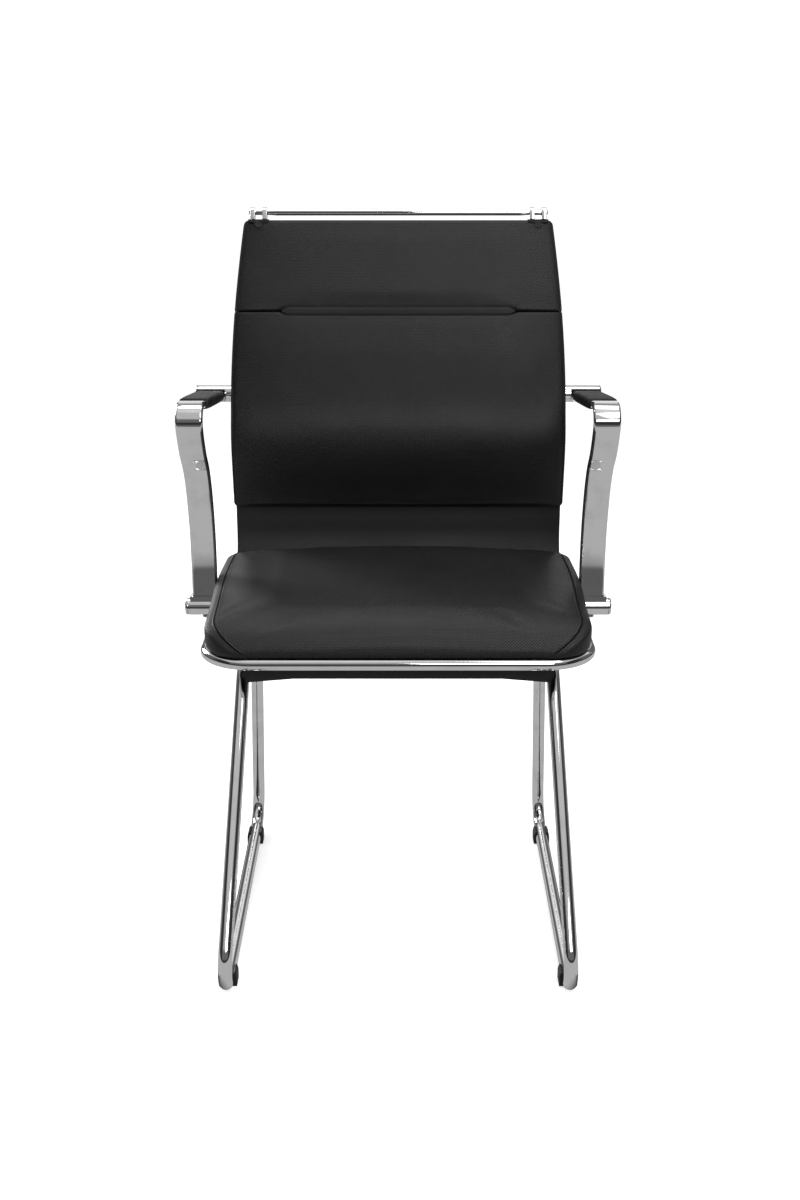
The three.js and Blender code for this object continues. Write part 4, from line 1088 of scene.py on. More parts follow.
def screw_grid(point, way):
    """Rings about the screw's axis, in from its head: socket floor, socket wall, dome, rim and shank."""
    angle = np.linspace(0, 2 * np.pi, 36, endpoint=False)
    six = hexagon_radius(angle, SOCKET_HALF)
    turn = np.linspace(0, np.pi / 2, 6)
    dome = zip(HEAD_RADIUS - HEAD_EDGE * (1 - np.sin(turn)), HEAD_EDGE * (1 - np.cos(turn)) - HEAD_HEIGHT)
    rings = [(six * 0.6, -1.3), (six, -1.4), (six, -HEAD_HEIGHT + 0.15), (six + 0.15, -HEAD_HEIGHT)]
    shank = [(HEAD_RADIUS, -FIT), (SHANK_RADIUS, -FIT), (SHANK_RADIUS, SHANK_SHOWN)]
    rings += [(np.full_like(angle, radius), place) for radius, place in [*dome, *shank]]
    radius = np.array([ring for ring, _ in rings])[..., None]
    place = np.array([value for _, value in rings])[:, None, None]
    way = unit(np.asarray(way, float))
    first = unit(np.cross(way, [1.0, 0.3, 0.2]))
    second = np.cross(way, first)
    round_axis = np.cos(angle)[:, None] * first + np.sin(angle)[:, None] * second
    return np.asarray(point) + radius * round_axis + way * (place - FIT)


print("rings on a screw:", len(screw_grid(np.zeros(3), UP)))

# %% [markdown]
# Twelve screws hold the seat, four hold the arms, two the rail's blocks and eight the clamps. Their places
# could be measured again from the drawing, but the CAD model has most of them already. So each of those is
# read from the box of its CAD screw, and stands for it.

# %% Screws in place
BRACKET_SCREW_DROP = 6.5


def screw_at_low_face(node):
    """The seat of a CAD screw that points up: the middle of its box, the height of a head above its foot."""
    low, high = (np.array(corner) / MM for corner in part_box(node))
    return np.array([*(low + high)[:2] / 2, low[2] + HEAD_HEIGHT + FIT])


for number in range(1, 13):
    node = f"seat_screw_{number}"
    SCREWS.append((f"pan_screw_{number}", screw_at_low_face(node), UP, node))
for label, side in SIDES.items():
    low, high = (np.array(corner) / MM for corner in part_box(f"arm_screw_upper_{label}"))
    seat = np.array([(low[0] + high[0]) / 2, high[1] - HEAD_HEIGHT - FIT, (low[2] + high[2]) / 2])
    lower = f"arm_screw_lower_{label}"
    SCREWS.append((f"arm_bolt_lower_{label}", screw_at_low_face(lower), UP, lower))
    SCREWS.append((f"arm_bolt_upper_{label}", seat, -Y_WAY, f"arm_screw_upper_{label}"))
    middle = side * (RAIL_HALF - sum(BAND_INSETS.values()) / 2)
    seat = np.array([middle, *top_point]) - top_up * BRACKET_SCREW_DROP - top_normal * SHELL_THICK / 2
    SCREWS.append((f"rail_bolt_{label}", seat, top_normal, f"handle_screw_{label}"))
for name, point, way, node in SCREWS:
    screw = grid_object(name, screw_grid(point, way), zinc, sharp=30)
    settle(screw, "zinc_steel", *([node] if node else []))
print("screws:", len(SCREWS))

# %% [markdown]
# An arm is one flat bar of chromed steel: up from the lower pipe in an S, over a tight nose and straight
# back to the upper pipe. Arcs could make the S, but its curve has no single radius, so it runs through
# shares of its height and reach that were read from the photograph. A bar bender keeps the section square
# to the curve all the way, and so does the sweep.

# %% Arm straps
ARM_WIDTH, ARM_THICK, ARM_EDGE = 36.0, 10.0, 3.4
SADDLE_RISE = 4.0
ARM_FOOT = LOWER_LEVEL + CROSS_RADIUS + SADDLE_RISE + FIT
ARM_TOP = 712.0
NOSE_Y, NOSE_RADIUS = 247.0, 22.0
ARM_CURVE_SHARES = [
    (1, 0), (1, 0.173), (0.95, 0.35), (0.81, 0.532), (0.7, 0.628), (0.525, 0.731), (0.247, 0.838), (0, 1),
]
upper_middle = middle_of("upper_cross_tube")
ARM_REAR_Y = upper_middle[1] - CROSS_RADIUS - SADDLE_RISE - FIT
ARM_SPANS = 28


def arm_line():
    """Points (Y, Z) of the strap's middle: the S by shares of its reach and height, the nose, the top."""
    top = ARM_TOP - ARM_THICK / 2
    nose_level = top - NOSE_RADIUS
    reach, height = LOWER_TUBE_BACK - NOSE_Y, nose_level - ARM_FOOT
    spine = [(back(NOSE_Y + a * reach), ARM_FOOT + b * height) for a, b in ARM_CURVE_SHARES]
    angle = np.pi / 2 * np.array([1, 2, 3]) / 3
    nose_y = back(NOSE_Y + NOSE_RADIUS * (1 - np.cos(angle)))
    nose = np.stack([nose_y, nose_level + NOSE_RADIUS * np.sin(angle)], 1)
    start, end = np.array([nose[-1][0], top]), np.array([ARM_REAR_Y, upper_middle[2]])
    rear = [start + (end - start) * share for share in (0.12, 0.5, 1)]
    return soft_curve([*spine, *nose, *rear], ARM_SPANS // 2)


ARM_LINE = arm_line()


def bar_path(side, line):
    """The line in the arm's plane, as points and directions in space."""
    path = np.insert(line, 0, side * ARM_CENTRE, axis=1)
    return path, directions(path)


X_WAY = np.array([1.0, 0, 0])
for label, side in SIDES.items():
    path, ways = bar_path(side, ARM_LINE)
    ways[0], ways[-1] = UP, Y_WAY
    grid = sweep(path, ways, X_WAY, rounded_bar(ARM_WIDTH, ARM_THICK, ARM_EDGE))
    strap = grid_object(f"arm_bar_{label}", grid, chrome)
    settle(strap, "polished_chrome", f"arm_strap_{label}")
print("arm bars:", len(ARM_LINE), "sections each")

# %% [markdown]
# The arm's top is dressed in a leather sleeve, pulled on and sewn shut underneath. It fits tightly over
# thin foam, so it follows the bar and swells a little in the middle, with a turned hem at both ends. A
# cloth simulation would settle on nearly the same form, so the swelling is a formula here.

# %% Arm sleeves
SLEEVE_START, SLEEVE_END = 307.0, 500.0
SLEEVE_WALL, SLEEVE_EDGE = 2.3, 5.0
SLEEVE_SWELL, SWELL_REACH, SWELL_CORE = 0.7, 45.0, np.array([13.3, 0.3])
HEM_ROWS, HEM_ROLL = np.array([0.3, 1.0, 2.2]), 1.8


def sleeve_grid(side):
    """Sections along the bar's straight top: a rounded bar that swells, with a rolled hem at both ends."""
    top = ARM_LINE[len(ARM_LINE) // 2:]
    y = np.linspace(back(SLEEVE_START), back(SLEEVE_END), 70)
    ends = np.sort(np.concatenate([y, y[0] + HEM_ROWS, y[-1] - HEM_ROWS]))
    path = np.stack([np.full_like(ends, side * ARM_CENTRE), ends, np.interp(ends, top[:, 0], top[:, 1])], 1)
    edge = np.minimum(ends - ends[0], ends[-1] - ends)
    roll = corner_inset(edge, HEM_ROLL)
    swell = SLEEVE_SWELL * smooth_share(edge / SWELL_REACH)
    outline = rounded_bar(ARM_WIDTH + 2 * SLEEVE_WALL, ARM_THICK + 2 * SLEEVE_WALL, SLEEVE_EDGE, 12)
    grid = sweep(path, directions(path), X_WAY, outline)
    outward = unit(outline - np.clip(outline, -SWELL_CORE, SWELL_CORE))
    move = (swell - roll)[:, None] * np.ones(len(outline))
    grid[..., 0] += move * outward[:, 0]
    grid[..., 2] += move * outward[:, 1] * np.sign(np.cross(directions(path), X_WAY)[:, 2:3])
    return grid, ends, outline


for label, side in SIDES.items():
    grid, ends, outline = sleeve_grid(side)
    lap = np.cumsum(np.linalg.norm(np.roll(outline, -1, 0) - outline, axis=1))
    marks = {"across": lap[None, :], "along": ends[:, None]}
    sleeve = grid_object(f"arm_sleeve_{label}", grid, leather_plain, marks=marks)
    settle(sleeve, "black_leather", f"arm_pad_{label}")
print("arm sleeves:", round(SLEEVE_END - SLEEVE_START), "mm long")

# %% [markdown]
# The shell is moulded ply, wrapped in leather front and back. It is a slab along the line: a flat section
# with rounded edges, whose width and corners follow the shell's edge. A subdivided box would round its
# corners by guess. Rows crowd at both ends here, where the edge turns.

# %% Covered shell
FRONT_CORNER, TOP_CORNER = 48.0, 14.0
SHELL_ROLL, SHELL_EDGE = 3.5, 3.4


def slab_sections(half, bottom, top, radius, columns=36, steps=7):
    """Closed sections (across, out) of a slab: two faces and quarter circles. Measures are one per row."""
    half, bottom, top, radius = (np.asarray(value, float)[:, None] for value in (half, bottom, top, radius))
    radius = np.minimum(radius, (top - bottom) / 2 - 0.01)
    span = np.linspace(-1, 1, columns)[None, 1:-1]
    angle = np.linspace(0, np.pi / 2, steps)[None, :]
    sine, cosine = np.sin(angle), np.cos(angle)
    reach = half - radius
    half_way = [span * reach, reach + radius * sine, reach + radius * cosine]
    across = half_way + [-value for value in half_way]
    full = np.ones_like(span)
    out = [top * full, top - radius * (1 - cosine), bottom + radius * (1 - sine), bottom * full,
           bottom + radius * (1 - cosine), top - radius * (1 - sine)]
    return np.concatenate(across, 1), np.concatenate(out, 1)


def rows_between(first, last, step, reaches=(4.0, 48.0)):
    """Places from first to last, an even step apart and closer together near both ends."""
    share = np.linspace(0, 1, 9)
    near = np.concatenate([reach * share**2 for reach in reaches])
    middle = np.linspace(first, last, int((last - first) / step) + 1)
    rows = np.unique(np.concatenate([middle, first + near, last - near]).round(3))
    return rows[np.concatenate([[True], np.diff(rows) > 0.05])]


def shell_grid():
    """Slab sections along the line. The width loses its corner radii and the thickness its rounded ends."""
    along = rows_between(0.0, SHELL_LENGTH, 6.0)
    rest = SHELL_LENGTH - along
    half = shell_half(along) - corner_inset(along, FRONT_CORNER) - corner_inset(rest, TOP_CORNER)
    thin = corner_inset(along, SHELL_ROLL) + corner_inset(rest, SHELL_ROLL)
    face = SHELL_THICK / 2 - thin
    across, out = slab_sections(half, -face, face, np.full_like(along, SHELL_EDGE))
    return shell_place(across, along[:, None], out), across, along


grid, across, along = shell_grid()
marks = {"across": across, "along": along[:, None]}
shell = grid_object("covered_shell", grid, leather_plain, marks=marks, sharp=50)
settle(shell, "black_leather", "shell")
print("shell grid:", grid.shape[:2])

# %% [markdown]
# A cover looks sewn when it is fullest between its seams. It could be sculpted, but air pressure in a
# cloth simulation gives that form by itself. The lines that are sewn or glued are held, and a limit keeps
# the cover inside the room that the real cushion has.

# %% Filled covers
STRAP_CLEAR = HALF_WIDTH + 5.0


def puff(piece, held, pressure, most, frames=16):
    """Fills the cover by cloth simulation. No point moves further than most, or into an arm strap."""
    mesh = piece.data
    before = np.empty(len(mesh.vertices) * 3)
    mesh.vertices.foreach_get("co", before)
    group = piece.vertex_groups.new(name="held")
    group.add(np.flatnonzero(held > 0.5).tolist(), 1.0, "REPLACE")
    cloth = piece.modifiers.new("cloth", "CLOTH")
    cloth.settings.quality = 6
    cloth.settings.vertex_group_mass = "held"
    cloth.settings.use_pressure = True
    cloth.settings.uniform_pressure_force = pressure
    cloth.settings.tension_stiffness = cloth.settings.compression_stiffness = 30
    cloth.settings.bending_stiffness = 6
    cloth.settings.effector_weights.gravity = 0
    cloth.collision_settings.use_collision = False
    cloth.point_cache.frame_end = frames
    scene = bpy.context.scene
    for number in range(1, frames + 1):
        scene.frame_set(number)
    shape = piece.evaluated_get(bpy.context.evaluated_depsgraph_get()).to_mesh()
    after = np.empty_like(before)
    shape.vertices.foreach_get("co", after)
    piece.modifiers.remove(cloth)
    piece.vertex_groups.remove(group)
    scene.frame_set(1)
    move = (after - before).reshape(-1, 3)
    length = np.linalg.norm(move, axis=1, keepdims=True)
    move *= np.minimum(1, most * MM / np.maximum(length, 1e-9))
    filled = before.reshape(-1, 3) + move
    filled[:, 0] = np.clip(filled[:, 0], -STRAP_CLEAR * MM, STRAP_CLEAR * MM)
    mesh.vertices.foreach_set("co", filled.reshape(-1))
    mesh.update()
    return float(length.max() / MM)


print("covers stay within", STRAP_CLEAR, "mm of the middle")

# %% [markdown]
# Thread lies on the leather, so it needs the cover's points and normals after the filling. Blender keeps
# normals for each vertex too, but the grid's own rows and columns give both as whole arrays.

# %% Skin of a filled cover


def sheet_points(piece, shape):
    """The piece's points after the cloth has moved them, as a grid in millimetres."""
    flat = np.empty(len(piece.data.vertices) * 3)
    piece.data.vertices.foreach_get("co", flat)
    return flat.reshape(-1, 3)[: shape[0] * shape[1]].reshape(shape[0], shape[1], 3) / MM


def sheet_normals(sheet):
    """Cross products of the steps along and across a closed grid, turned to point away from its middle."""
    across = np.roll(sheet, -1, 1) - np.roll(sheet, 1, 1)
    facing = np.cross(across, np.gradient(sheet, axis=0))
    facing /= np.maximum(np.linalg.norm(facing, axis=2, keepdims=True), 1e-9)
    outward = (facing * (sheet - sheet.mean((0, 1)))).sum() > 0
    return facing if outward else -facing


print("skin tools ready")

# %% [markdown]
# A seam shows as a row of short threads. A pattern in the leather's material could show them, but a real
# thread catches the light and throws a shadow. So each stitch is a small capsule of twenty faces, half
# sunk in the leather, and one mesh holds all the rows of a cushion.

# %% Stitches
STITCH_PITCH, STITCH_HALF, THREAD_RADIUS = 4.6, 1.5, 0.42


def capsule_faces(facets, rings):
    """One tip, rings of points and a second tip: triangles at both ends, quads between."""
    here = np.arange(facets)
    beside = (here + 1) % facets
    last = 1 + (rings - 1) * facets
    tip = np.stack([0 * here, 1 + beside, 1 + here], 1)
    tail = np.stack([last + here, last + beside, 0 * here + rings * facets + 1], 1)
    start = 1 + np.arange(rings - 1)[:, None] * facets
    quads = np.stack([start + here, start + beside, start + beside + facets, start + here + facets], -1)
    return tip, tail, quads.reshape(-1, 4)


def stitches(name, lines):
    """A capsule every few millimetres along each line. A line is its points and the leather's normals."""
    middles, ways, outs = [], [], []
    for line, facing in lines:
        run = np.concatenate([[0], np.cumsum(np.linalg.norm(np.diff(line, axis=0), axis=1))])
        at = np.arange(STITCH_PITCH, run[-1] - STITCH_PITCH, STITCH_PITCH)
        middles.append(np.stack([np.interp(at, run, line[:, k]) for k in range(3)], 1))
        outs.append(unit(np.stack([np.interp(at, run, facing[:, k]) for k in range(3)], 1)))
        ways.append(directions(middles[-1]))
    middle, way, out = (np.concatenate(values)[:, None, :] for values in (middles, ways, outs))
    side = np.cross(way, out)
    angle = np.tile(np.linspace(0, 2 * np.pi, 5, endpoint=False), 3)
    reach = np.concatenate([[-1], np.repeat([-0.7, 0, 0.7], 5), [1]])[None, :, None] * STITCH_HALF
    thick = np.repeat([0.75, 1.0, 0.75], 5) * THREAD_RADIUS
    wide = np.concatenate([[0], thick * np.cos(angle), [0]])[None, :, None]
    tall = np.concatenate([[0], thick * np.sin(angle), [0]])[None, :, None]
    points = (middle + out * 0.1 + way * reach + side * wide + out * tall).reshape(-1, 3)
    shift = (np.arange(len(middle)) * 17)[:, None, None]
    faces = [(corners[None] + shift).reshape(-1, corners.shape[1]) for corners in capsule_faces(5, 3)]
    settle(mesh_object(name, points, faces, thread), "black_leather")
    print(name, "has", len(middle), "stitches")


print("faces in one stitch:", sum(len(corners) for corners in capsule_faces(5, 3)))

# %% [markdown]
# The back carries two thin upholstered panels, a tall one and a head panel, that meet in a level seam.
# Each is sewn as a flat envelope, so it is fullest in its middle and rolls over at its rim. A flat sheet
# under pressure would swell too far, so the form is worked out first and pressure only fills it.

# %% Panel form
PAD_THICK, PAD_CROWN, PAD_FOLD, RIM_ROLL = 13.0, 3.0, 6.0, 5.0
PIPING_RADIUS, PIPING_OUT = 2.1, 5.4
FRONT_COLUMNS, SEWN_COLUMN, HELD_ROWS = 121, 9, 8
RIBBON_INSET, RIBBON_RISE, RIBBON_POINT = 69.8, 6.5, 11.0
RIBBON_HALF = SHELL_BACK_HALF - RIBBON_INSET
SEAM_ROLL, RIBBON_ROLL = 3.0, 6.2
SEAM_FOLD, RIBBON_FOLD = 0.75, 0.65
RIBBON_FADE, FLANK_POWER = 8.0, 9
BACK_FOOT_LEVEL, SEAM_LEVEL, SEAM_HALF_GAP = 516.0, 795.0, 0.5
SEAM_ALONG = along_at_level(SEAM_LEVEL)
BACK_CORNER, HEAD_CORNER, SEAM_CORNER = 5.0, 6.0, 2.5
PANELS = {
    "back_panel": (
        "back_pad", along_at_level(BACK_FOOT_LEVEL), SEAM_ALONG - SEAM_HALF_GAP, BACK_CORNER, SEAM_CORNER,
    ),
    "head_panel": (
        "head_pad", SEAM_ALONG + SEAM_HALF_GAP, SHELL_LENGTH - 1.5, SEAM_CORNER, HEAD_CORNER,
    ),
}


def panel_grid(first, last, low_corner, high_corner):
    """Sections with a flat rear and a crowned front. The rim rolls by a power of the share across."""
    along = rows_between(first, last, 4.0, (6.0, 14.0))
    start, end = along - first, last - along
    half = shell_half(along) - corner_inset(start, low_corner) - corner_inset(end, high_corner)
    span = np.sin(np.linspace(-np.pi / 2, np.pi / 2, FRONT_COLUMNS))[None, :]
    beside = smooth_share((RIBBON_HALF + 3 - np.abs(span * half[:, None])) / RIBBON_FADE)
    seam, rim = (start, end) if low_corner < high_corner else (end, start)
    reach = SEAM_ROLL + RIBBON_ROLL * beside
    sewn_in = corner_inset(seam[:, None] * RIM_ROLL / reach, RIM_ROLL) * (SEAM_FOLD + RIBBON_FOLD * beside)
    fold = corner_inset(rim, RIM_ROLL)[:, None] + sewn_in
    roll = np.sqrt(np.clip(1 - np.abs(span) ** FLANK_POWER, 0, None))
    crown = PAD_CROWN * np.minimum(1, 5 * np.minimum(start, end) / (last - first))
    swell = np.maximum(PAD_THICK - PAD_FOLD - fold, 0.2) * roll + crown[:, None] * (1 - span**2)
    front = PAD_SEAT + PAD_FOLD + swell
    rear = np.full_like(front, PAD_SEAT)
    wall = np.linspace(0, 1, 4)[None, 1:-1]
    right = PAD_SEAT + (front[:, -1:] - PAD_SEAT) * (1 - wall)
    left = PAD_SEAT + (front[:, :1] - PAD_SEAT) * wall
    face, edge = span * half[:, None], half[:, None] + 0 * wall
    across = np.concatenate([face, edge, -face, -edge], 1)
    out = np.concatenate([front, right, rear, left], 1)
    return shell_place(across, along[:, None], out), across, along


print("seam at", round(SEAM_ALONG), "mm along the shell's line")

# %% [markdown]
# Both panels come from that form. Their sewn columns and rims are held while pressure fills them. Piping,
# a cord in a strip of leather, closes the three free sides. A bevelled edge would only hint at it, so it
# is a circle carried along the panel's rim.

# %% Back panels


def panel_piece(name, node, first, last, low_corner, high_corner):
    """One upholstered panel, filled between its sewn lines. Gives the lines where its stitches run."""
    grid, across, along = panel_grid(first, last, low_corner, high_corner)
    marks = {"across": across, "along": along[:, None]}
    panel = grid_object(name, grid, leather_holes, marks=marks, sharp=60)
    held = np.zeros(grid.shape[:2])
    held[:, FRONT_COLUMNS:] = held[:HELD_ROWS] = held[-HELD_ROWS:] = 1
    held[:, : SEWN_COLUMN + 1] = held[:, FRONT_COLUMNS - SEWN_COLUMN - 1 :] = 1
    puff(panel, np.concatenate([held.reshape(-1), [1, 1]]), 0.4, 0.8)
    settle(panel, "black_leather", node)
    sheet = sheet_points(panel, grid.shape)
    facing = sheet_normals(sheet)
    columns = (SEWN_COLUMN, FRONT_COLUMNS - 1 - SEWN_COLUMN)
    return [(sheet[4:-4, column], facing[4:-4, column]) for column in columns]


def piping_path(first, last, low_corner, high_corner):
    """Up one side of a panel, over its free end and down the other side, as places across and along."""
    along = rows_between(first, last, 4.0, (2.0, 14.0))
    half = shell_half(along) + 0.2
    half -= corner_inset(along - first, low_corner) + corner_inset(last - along, high_corner)
    free_at_top = high_corner > low_corner
    if not free_at_top:
        along, half = along[::-1], half[::-1]
    over = np.linspace(-half[-1], half[-1], 62)[1:-1]
    across = np.concatenate([-half, over, half[::-1]])
    return across, np.concatenate([along, np.full(len(over), along[-1]), along[::-1]])


sewn = []
for name, (node, *shape) in PANELS.items():
    sewn += panel_piece(name, node, *shape)
    across, along = piping_path(*shape)
    path = shell_place(across, along, PAD_SEAT + PIPING_OUT)
    facing = unit(shell_place(across, along, PAD_SEAT + PIPING_OUT + 1) - path)
    cord = sweep(path, directions(path), facing, circle(PIPING_RADIUS, 12))
    piping = grid_object(name.replace("panel", "piping"), cord, leather_welt)
    settle(piping, "black_leather")
    print(name, "has", round(np.linalg.norm(np.diff(path, axis=0), axis=1).sum()), "mm of piping")
stitches("panel_stitches", sewn)
print("panels:", len(PANELS))

# %% [markdown]
# A narrow pointed strip lies in the seam between the two panels. It is a folded ribbon of the same
# leather, pressed flat, with its rim turned under. A bevelled plate would be near. It is a pile of
# hexagon rings that shrink towards its face, because that gives a soft rim with few faces.

# %% Seam ribbon
RIBBON_CORNER = 2.2
RIBBON_RINGS = [(0.35, 9.0), (0.0, 9.4), (0.0, 15.9), (0.3, 16.8), (1.0, 17.5), (2.3, 18.0), (4.4, 18.2)]


def ribbon_grid():
    """Rings of a long hexagon with soft corners, from its floor to its slightly domed face."""
    reach = RIBBON_HALF - RIBBON_POINT
    right = [(reach, -RIBBON_RISE), (RIBBON_HALF, 0), (reach, RIBBON_RISE)]
    left = [(-across, -rise) for across, rise in right]
    start = (0, -RIBBON_RISE)
    path, _ = filleted([start, *right, *left, start], RIBBON_CORNER, 6)
    way = directions(path)
    inward = np.stack([-way[:, 1], way[:, 0]], 1)
    grid = []
    for inset, out in RIBBON_RINGS:
        flat = (path + inward * min(inset, RIBBON_RISE - 0.5))[:-1]
        grid.append(shell_place(flat[:, 0], SEAM_ALONG + flat[:, 1], np.array(out)))
    return np.array(grid)


ribbon = grid_object("seam_ribbon", ribbon_grid(), leather_welt, sharp=50)
settle(ribbon, "black_leather", "seam_strip")
print("ribbon length:", round(2 * RIBBON_HALF), "mm")

# %% [markdown]
# The seat cushion is a block of foam in a sewn cover: a wide top panel that rolls down over the front,
# and a side panel at each flank. Its outline could be traced from above and from the side. Two formulas
# give it instead: the shoulder's level and half the width, each for a place back along the seat.

# %% The cushion's outline
CUSHION_HALF, CUSHION_BELLY = HALF_WIDTH - 0.5, 5.5
BELLY_AT, BELLY_REACH, BULGE_SHARE = 340.0, 120.0, 0.5
CUSHION_FRONT, CUSHION_REAR = 94.0, 489.0
SIDE_LEVEL, CUSHION_CROWN = 456.0, 9.0
WATERFALL, NOSE_LEVEL, ROLL_POWER = 60.0, 417.5, 1.9
REAR_ROLL, REAR_DROP, REAR_CROWD = 40.0, 14.0, 470.0
CUSHION_CORNER, REAR_TAPER, REAR_DRAW_IN = 46.0, 42.0, 14.0
POCKET_TOP = 528.0


def cushion_top(y):
    """The level of the shoulder: a quarter superellipse over the front and a soft fall at the rear."""
    roll = np.clip((y - CUSHION_FRONT) / WATERFALL, 0, 1)
    front = NOSE_LEVEL + (SIDE_LEVEL - NOSE_LEVEL) * (1 - (1 - roll) ** ROLL_POWER) ** (1 / ROLL_POWER)
    fall = np.clip(1 - (CUSHION_REAR - y) / REAR_ROLL, 0, None)
    return front - REAR_DROP * fall**2


def cushion_half(y):
    """Half the cushion's width: round front corner, soft rear one, a bell curve of fullness between them."""
    rear = REAR_DRAW_IN * np.clip(1 - (CUSHION_REAR - y) / REAR_TAPER, 0, None) ** 2
    belly = CUSHION_BELLY * np.exp(-((y - BELLY_AT) / BELLY_REACH) ** 2)
    return CUSHION_HALF + belly - corner_inset(y - CUSHION_FRONT, CUSHION_CORNER) - rear


def shell_face_level(y):
    """The level of the shell's upper face under the cushion, with a fit gap."""
    along = np.linspace(0, along_at_level(POCKET_TOP), 400)
    face = shell_place(0.0, along, SHELL_THICK / 2 + FIT + 0.2)
    return np.interp(back(y), face[:, 1], face[:, 2])


def cushion_rows():
    """Places back along the cushion, crowded at the front roll, the shell's front edge and the rear."""
    near = WATERFALL * np.linspace(0, 1, 26) ** 2
    middle = np.linspace(CUSHION_FRONT + WATERFALL + 4, REAR_CROWD, 58)
    rear = np.linspace(REAR_CROWD + 2, CUSHION_REAR - 0.5, 12)
    step = [SHELL_FRONT - 0.8, SHELL_FRONT - 0.5]
    return np.unique(np.concatenate([CUSHION_FRONT + near, middle, rear, step]))


print("cushion width:", 2 * round(float(cushion_half(BELLY_AT)), 1), "mm at its fullest")

# %% [markdown]
# Across the seat, foam in a cover lies between a box and an oval, and a superellipse is just that. A
# subdivided box would be too round at its rim. The floor is hollowed, so that the cushion sits on the
# shell, and one column on each side is drawn in for the seam, between two that stand a little proud.

# %% The cushion's form
CUSHION_POWER, ARC_STEPS = 6.0, 120
POCKET_RIM, TUCK_IN = 6.0, 5.0
SEAM_COLUMN = 21
SEAM_DEPTH, WELT_LIFT = 1.5, 0.5


def cushion_grid():
    """Superellipse arcs over a floor hollowed for the shell. Columns run over the top, then back below."""
    y = cushion_rows()[:, None]
    half, top = cushion_half(y), cushion_top(y)
    height = top - SHELL_UNDER
    bulge = SHELL_UNDER + BULGE_SHARE * height
    swell = CUSHION_CROWN * np.clip((y - CUSHION_FRONT) / WATERFALL, 0, 1)
    angle = np.linspace(0, np.pi, ARC_STEPS + 1)[None, :]
    across = np.sign(np.cos(angle)) * np.abs(np.cos(angle)) ** (2 / CUSHION_POWER)
    lift = np.sin(angle) ** (2 / CUSHION_POWER)
    arc_x = across * half
    arc_z = bulge + (1 - BULGE_SHARE) * height * lift + swell * (1 - across**2)
    in_front = y < SHELL_FRONT - 0.4
    hollow = shell_half(y - SHELL_FRONT) - corner_inset(y - SHELL_FRONT, FRONT_CORNER) + 0.5
    pocket = np.minimum(np.where(in_front, half - POCKET_RIM, hollow), half - POCKET_RIM)
    face = np.where(in_front, SHELL_UNDER, np.maximum(shell_face_level(y), SHELL_UNDER))
    floor = np.maximum(SHELL_UNDER, np.where(y > HEEL_START, face, SHELL_UNDER))
    share = np.linspace(1, -1, 31)[None, 1:-1]
    tuck = np.linspace(0, 1, 6)[None, 1:]
    tuck_x = half - TUCK_IN * tuck**2
    tuck_z = np.maximum(bulge - (bulge - SHELL_UNDER) * np.sin(tuck * np.pi / 2), floor)
    floor_x = np.concatenate([-tuck_x, -pocket - 0.3, -pocket * share, pocket + 0.3, tuck_x[:, ::-1]], 1)
    floor_z = np.concatenate([tuck_z, floor, face + 0 * share, floor, tuck_z[:, ::-1]], 1)
    grid = np.empty((len(y), arc_x.shape[1] + floor_x.shape[1], 3))
    grid[..., 0] = np.concatenate([arc_x, floor_x], 1)
    grid[..., 1] = back(y)
    grid[..., 2] = np.concatenate([np.maximum(arc_z, floor + 0.2), floor_z], 1)
    facing = sheet_normals(grid)
    for seam in (SEAM_COLUMN, ARC_STEPS - SEAM_COLUMN):
        for column, lift in ((seam - 1, WELT_LIFT), (seam, -SEAM_DEPTH), (seam + 1, WELT_LIFT)):
            grid[2:-2, column] += facing[2:-2, column] * lift
    return grid


grid = cushion_grid()
print("cushion grid:", grid.shape[:2])

# %% [markdown]
# The seam between the top panel and a side panel starts at the rear corner, runs along the flank and
# turns in under the front edge, because the top panel is cut narrower there. Sewing holds the cover at
# the seams and below, and pressure fills the rest. It could be a smooth block without it, but then no
# fold would run into a seam.

# %% Seat cushion


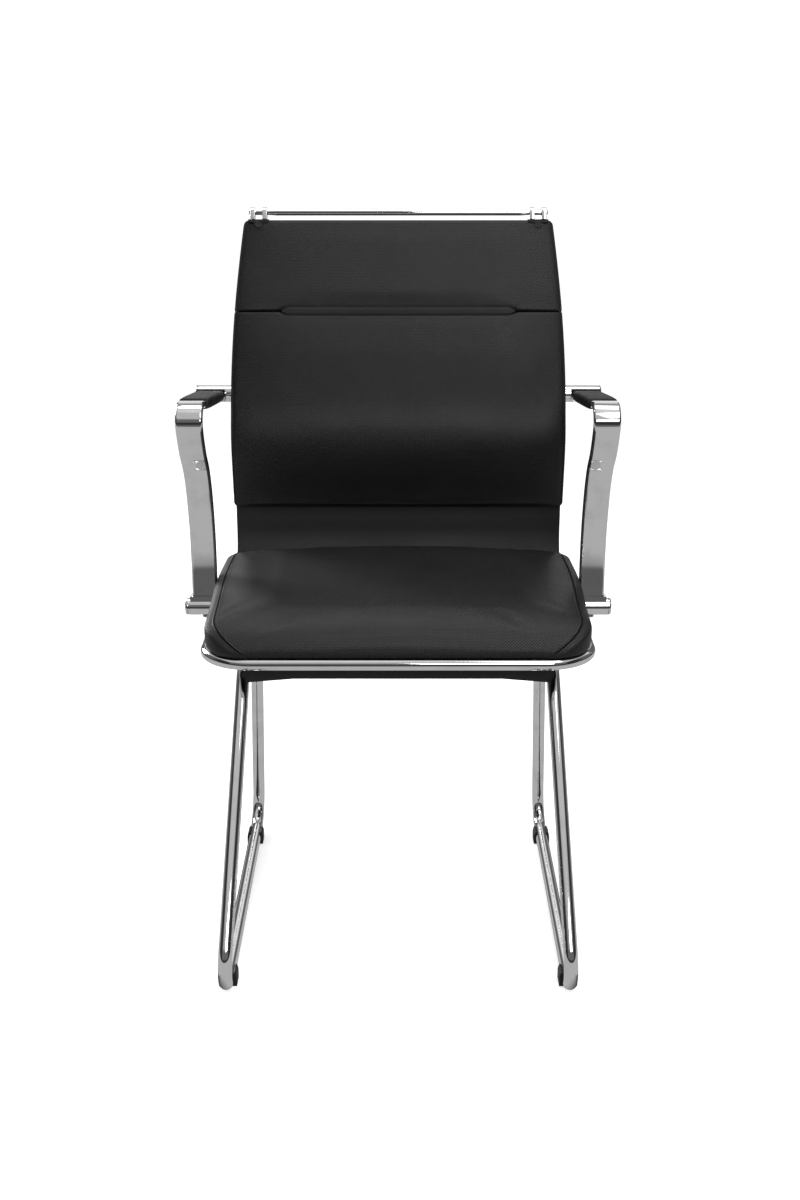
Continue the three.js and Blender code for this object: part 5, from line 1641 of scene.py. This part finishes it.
def cushion_marks(grid):
    """How far each point lies across its section and along the cushion's top line, in millimetres."""
    step = np.linalg.norm(np.diff(grid, axis=1, prepend=grid[:, :1]), axis=2)
    across = np.cumsum(step, axis=1)
    middle = grid[:, ARC_STEPS // 2]
    along = np.concatenate([[0], np.cumsum(np.linalg.norm(np.diff(middle, axis=0), axis=1))])
    return {"across": across - across[:, ARC_STEPS // 2][:, None], "along": along[:, None]}


def held_weights(grid):
    """1 where sewing or the shell holds the cover: below, at both seams and both ends. 0 where it swells."""
    held = np.zeros(grid.shape[:2])
    held[:, ARC_STEPS + 1:] = 1
    held[:, :3] = held[:, ARC_STEPS - 2:ARC_STEPS + 1] = 1
    held[:, SEAM_COLUMN] = held[:, ARC_STEPS - SEAM_COLUMN] = 1
    held[:2] = held[-5:] = 1
    return held


cushion = grid_object("seat_upholstery", grid, leather_holes, marks=cushion_marks(grid), sharp=55)
held = np.concatenate([held_weights(grid).reshape(-1), [1, 1]])
print("cushion swelled by up to", round(puff(cushion, held, 0.8, 4.0), 1), "mm before the cap")
settle(cushion, "black_leather", "seat_cushion")
sheet = sheet_points(cushion, grid.shape)
facing = sheet_normals(sheet)
beside = (SEAM_COLUMN + 3, ARC_STEPS - SEAM_COLUMN - 3)
seam_lines = [(sheet[4:-6, column], facing[4:-6, column]) for column in beside]
stitches("cushion_stitches", seam_lines)
print("cushion faces:", len(cushion.data.polygons))

# %% [markdown]
# What the CAD model already gives rightly stays as it is: plates, glides, saddles, plugs and blocks. They
# could be made again as grids, but nothing would look different. Each gets its finish and a fine bevel,
# because no real edge is perfectly sharp, and that edge is what catches the light.

# %% Kept CAD pieces
KEPT = [
    ("glide_", nylon, 0.5), ("handle_bracket_", nylon, 0.5), ("front_cross_plate", powder_steel, 0.4),
    ("rear_cross_plate", powder_steel, 0.4), ("arm_saddle_", chrome, 0.5), ("sled_joint_plug_", zinc, 0.4),
]
kept = 0
for start, material, width in KEPT:
    for node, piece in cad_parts.items():
        if node.startswith(start):
            piece.data.materials.clear()
            piece.data.materials.append(material)
            bevel = piece.modifiers.new("eased_edges", "BEVEL")
            bevel.width = width * MM
            bevel.segments = 3
            bevel.limit_method = "ANGLE"
            bevel.angle_limit = math.radians(40)
            kept += 1
print("kept CAD pieces:", kept)
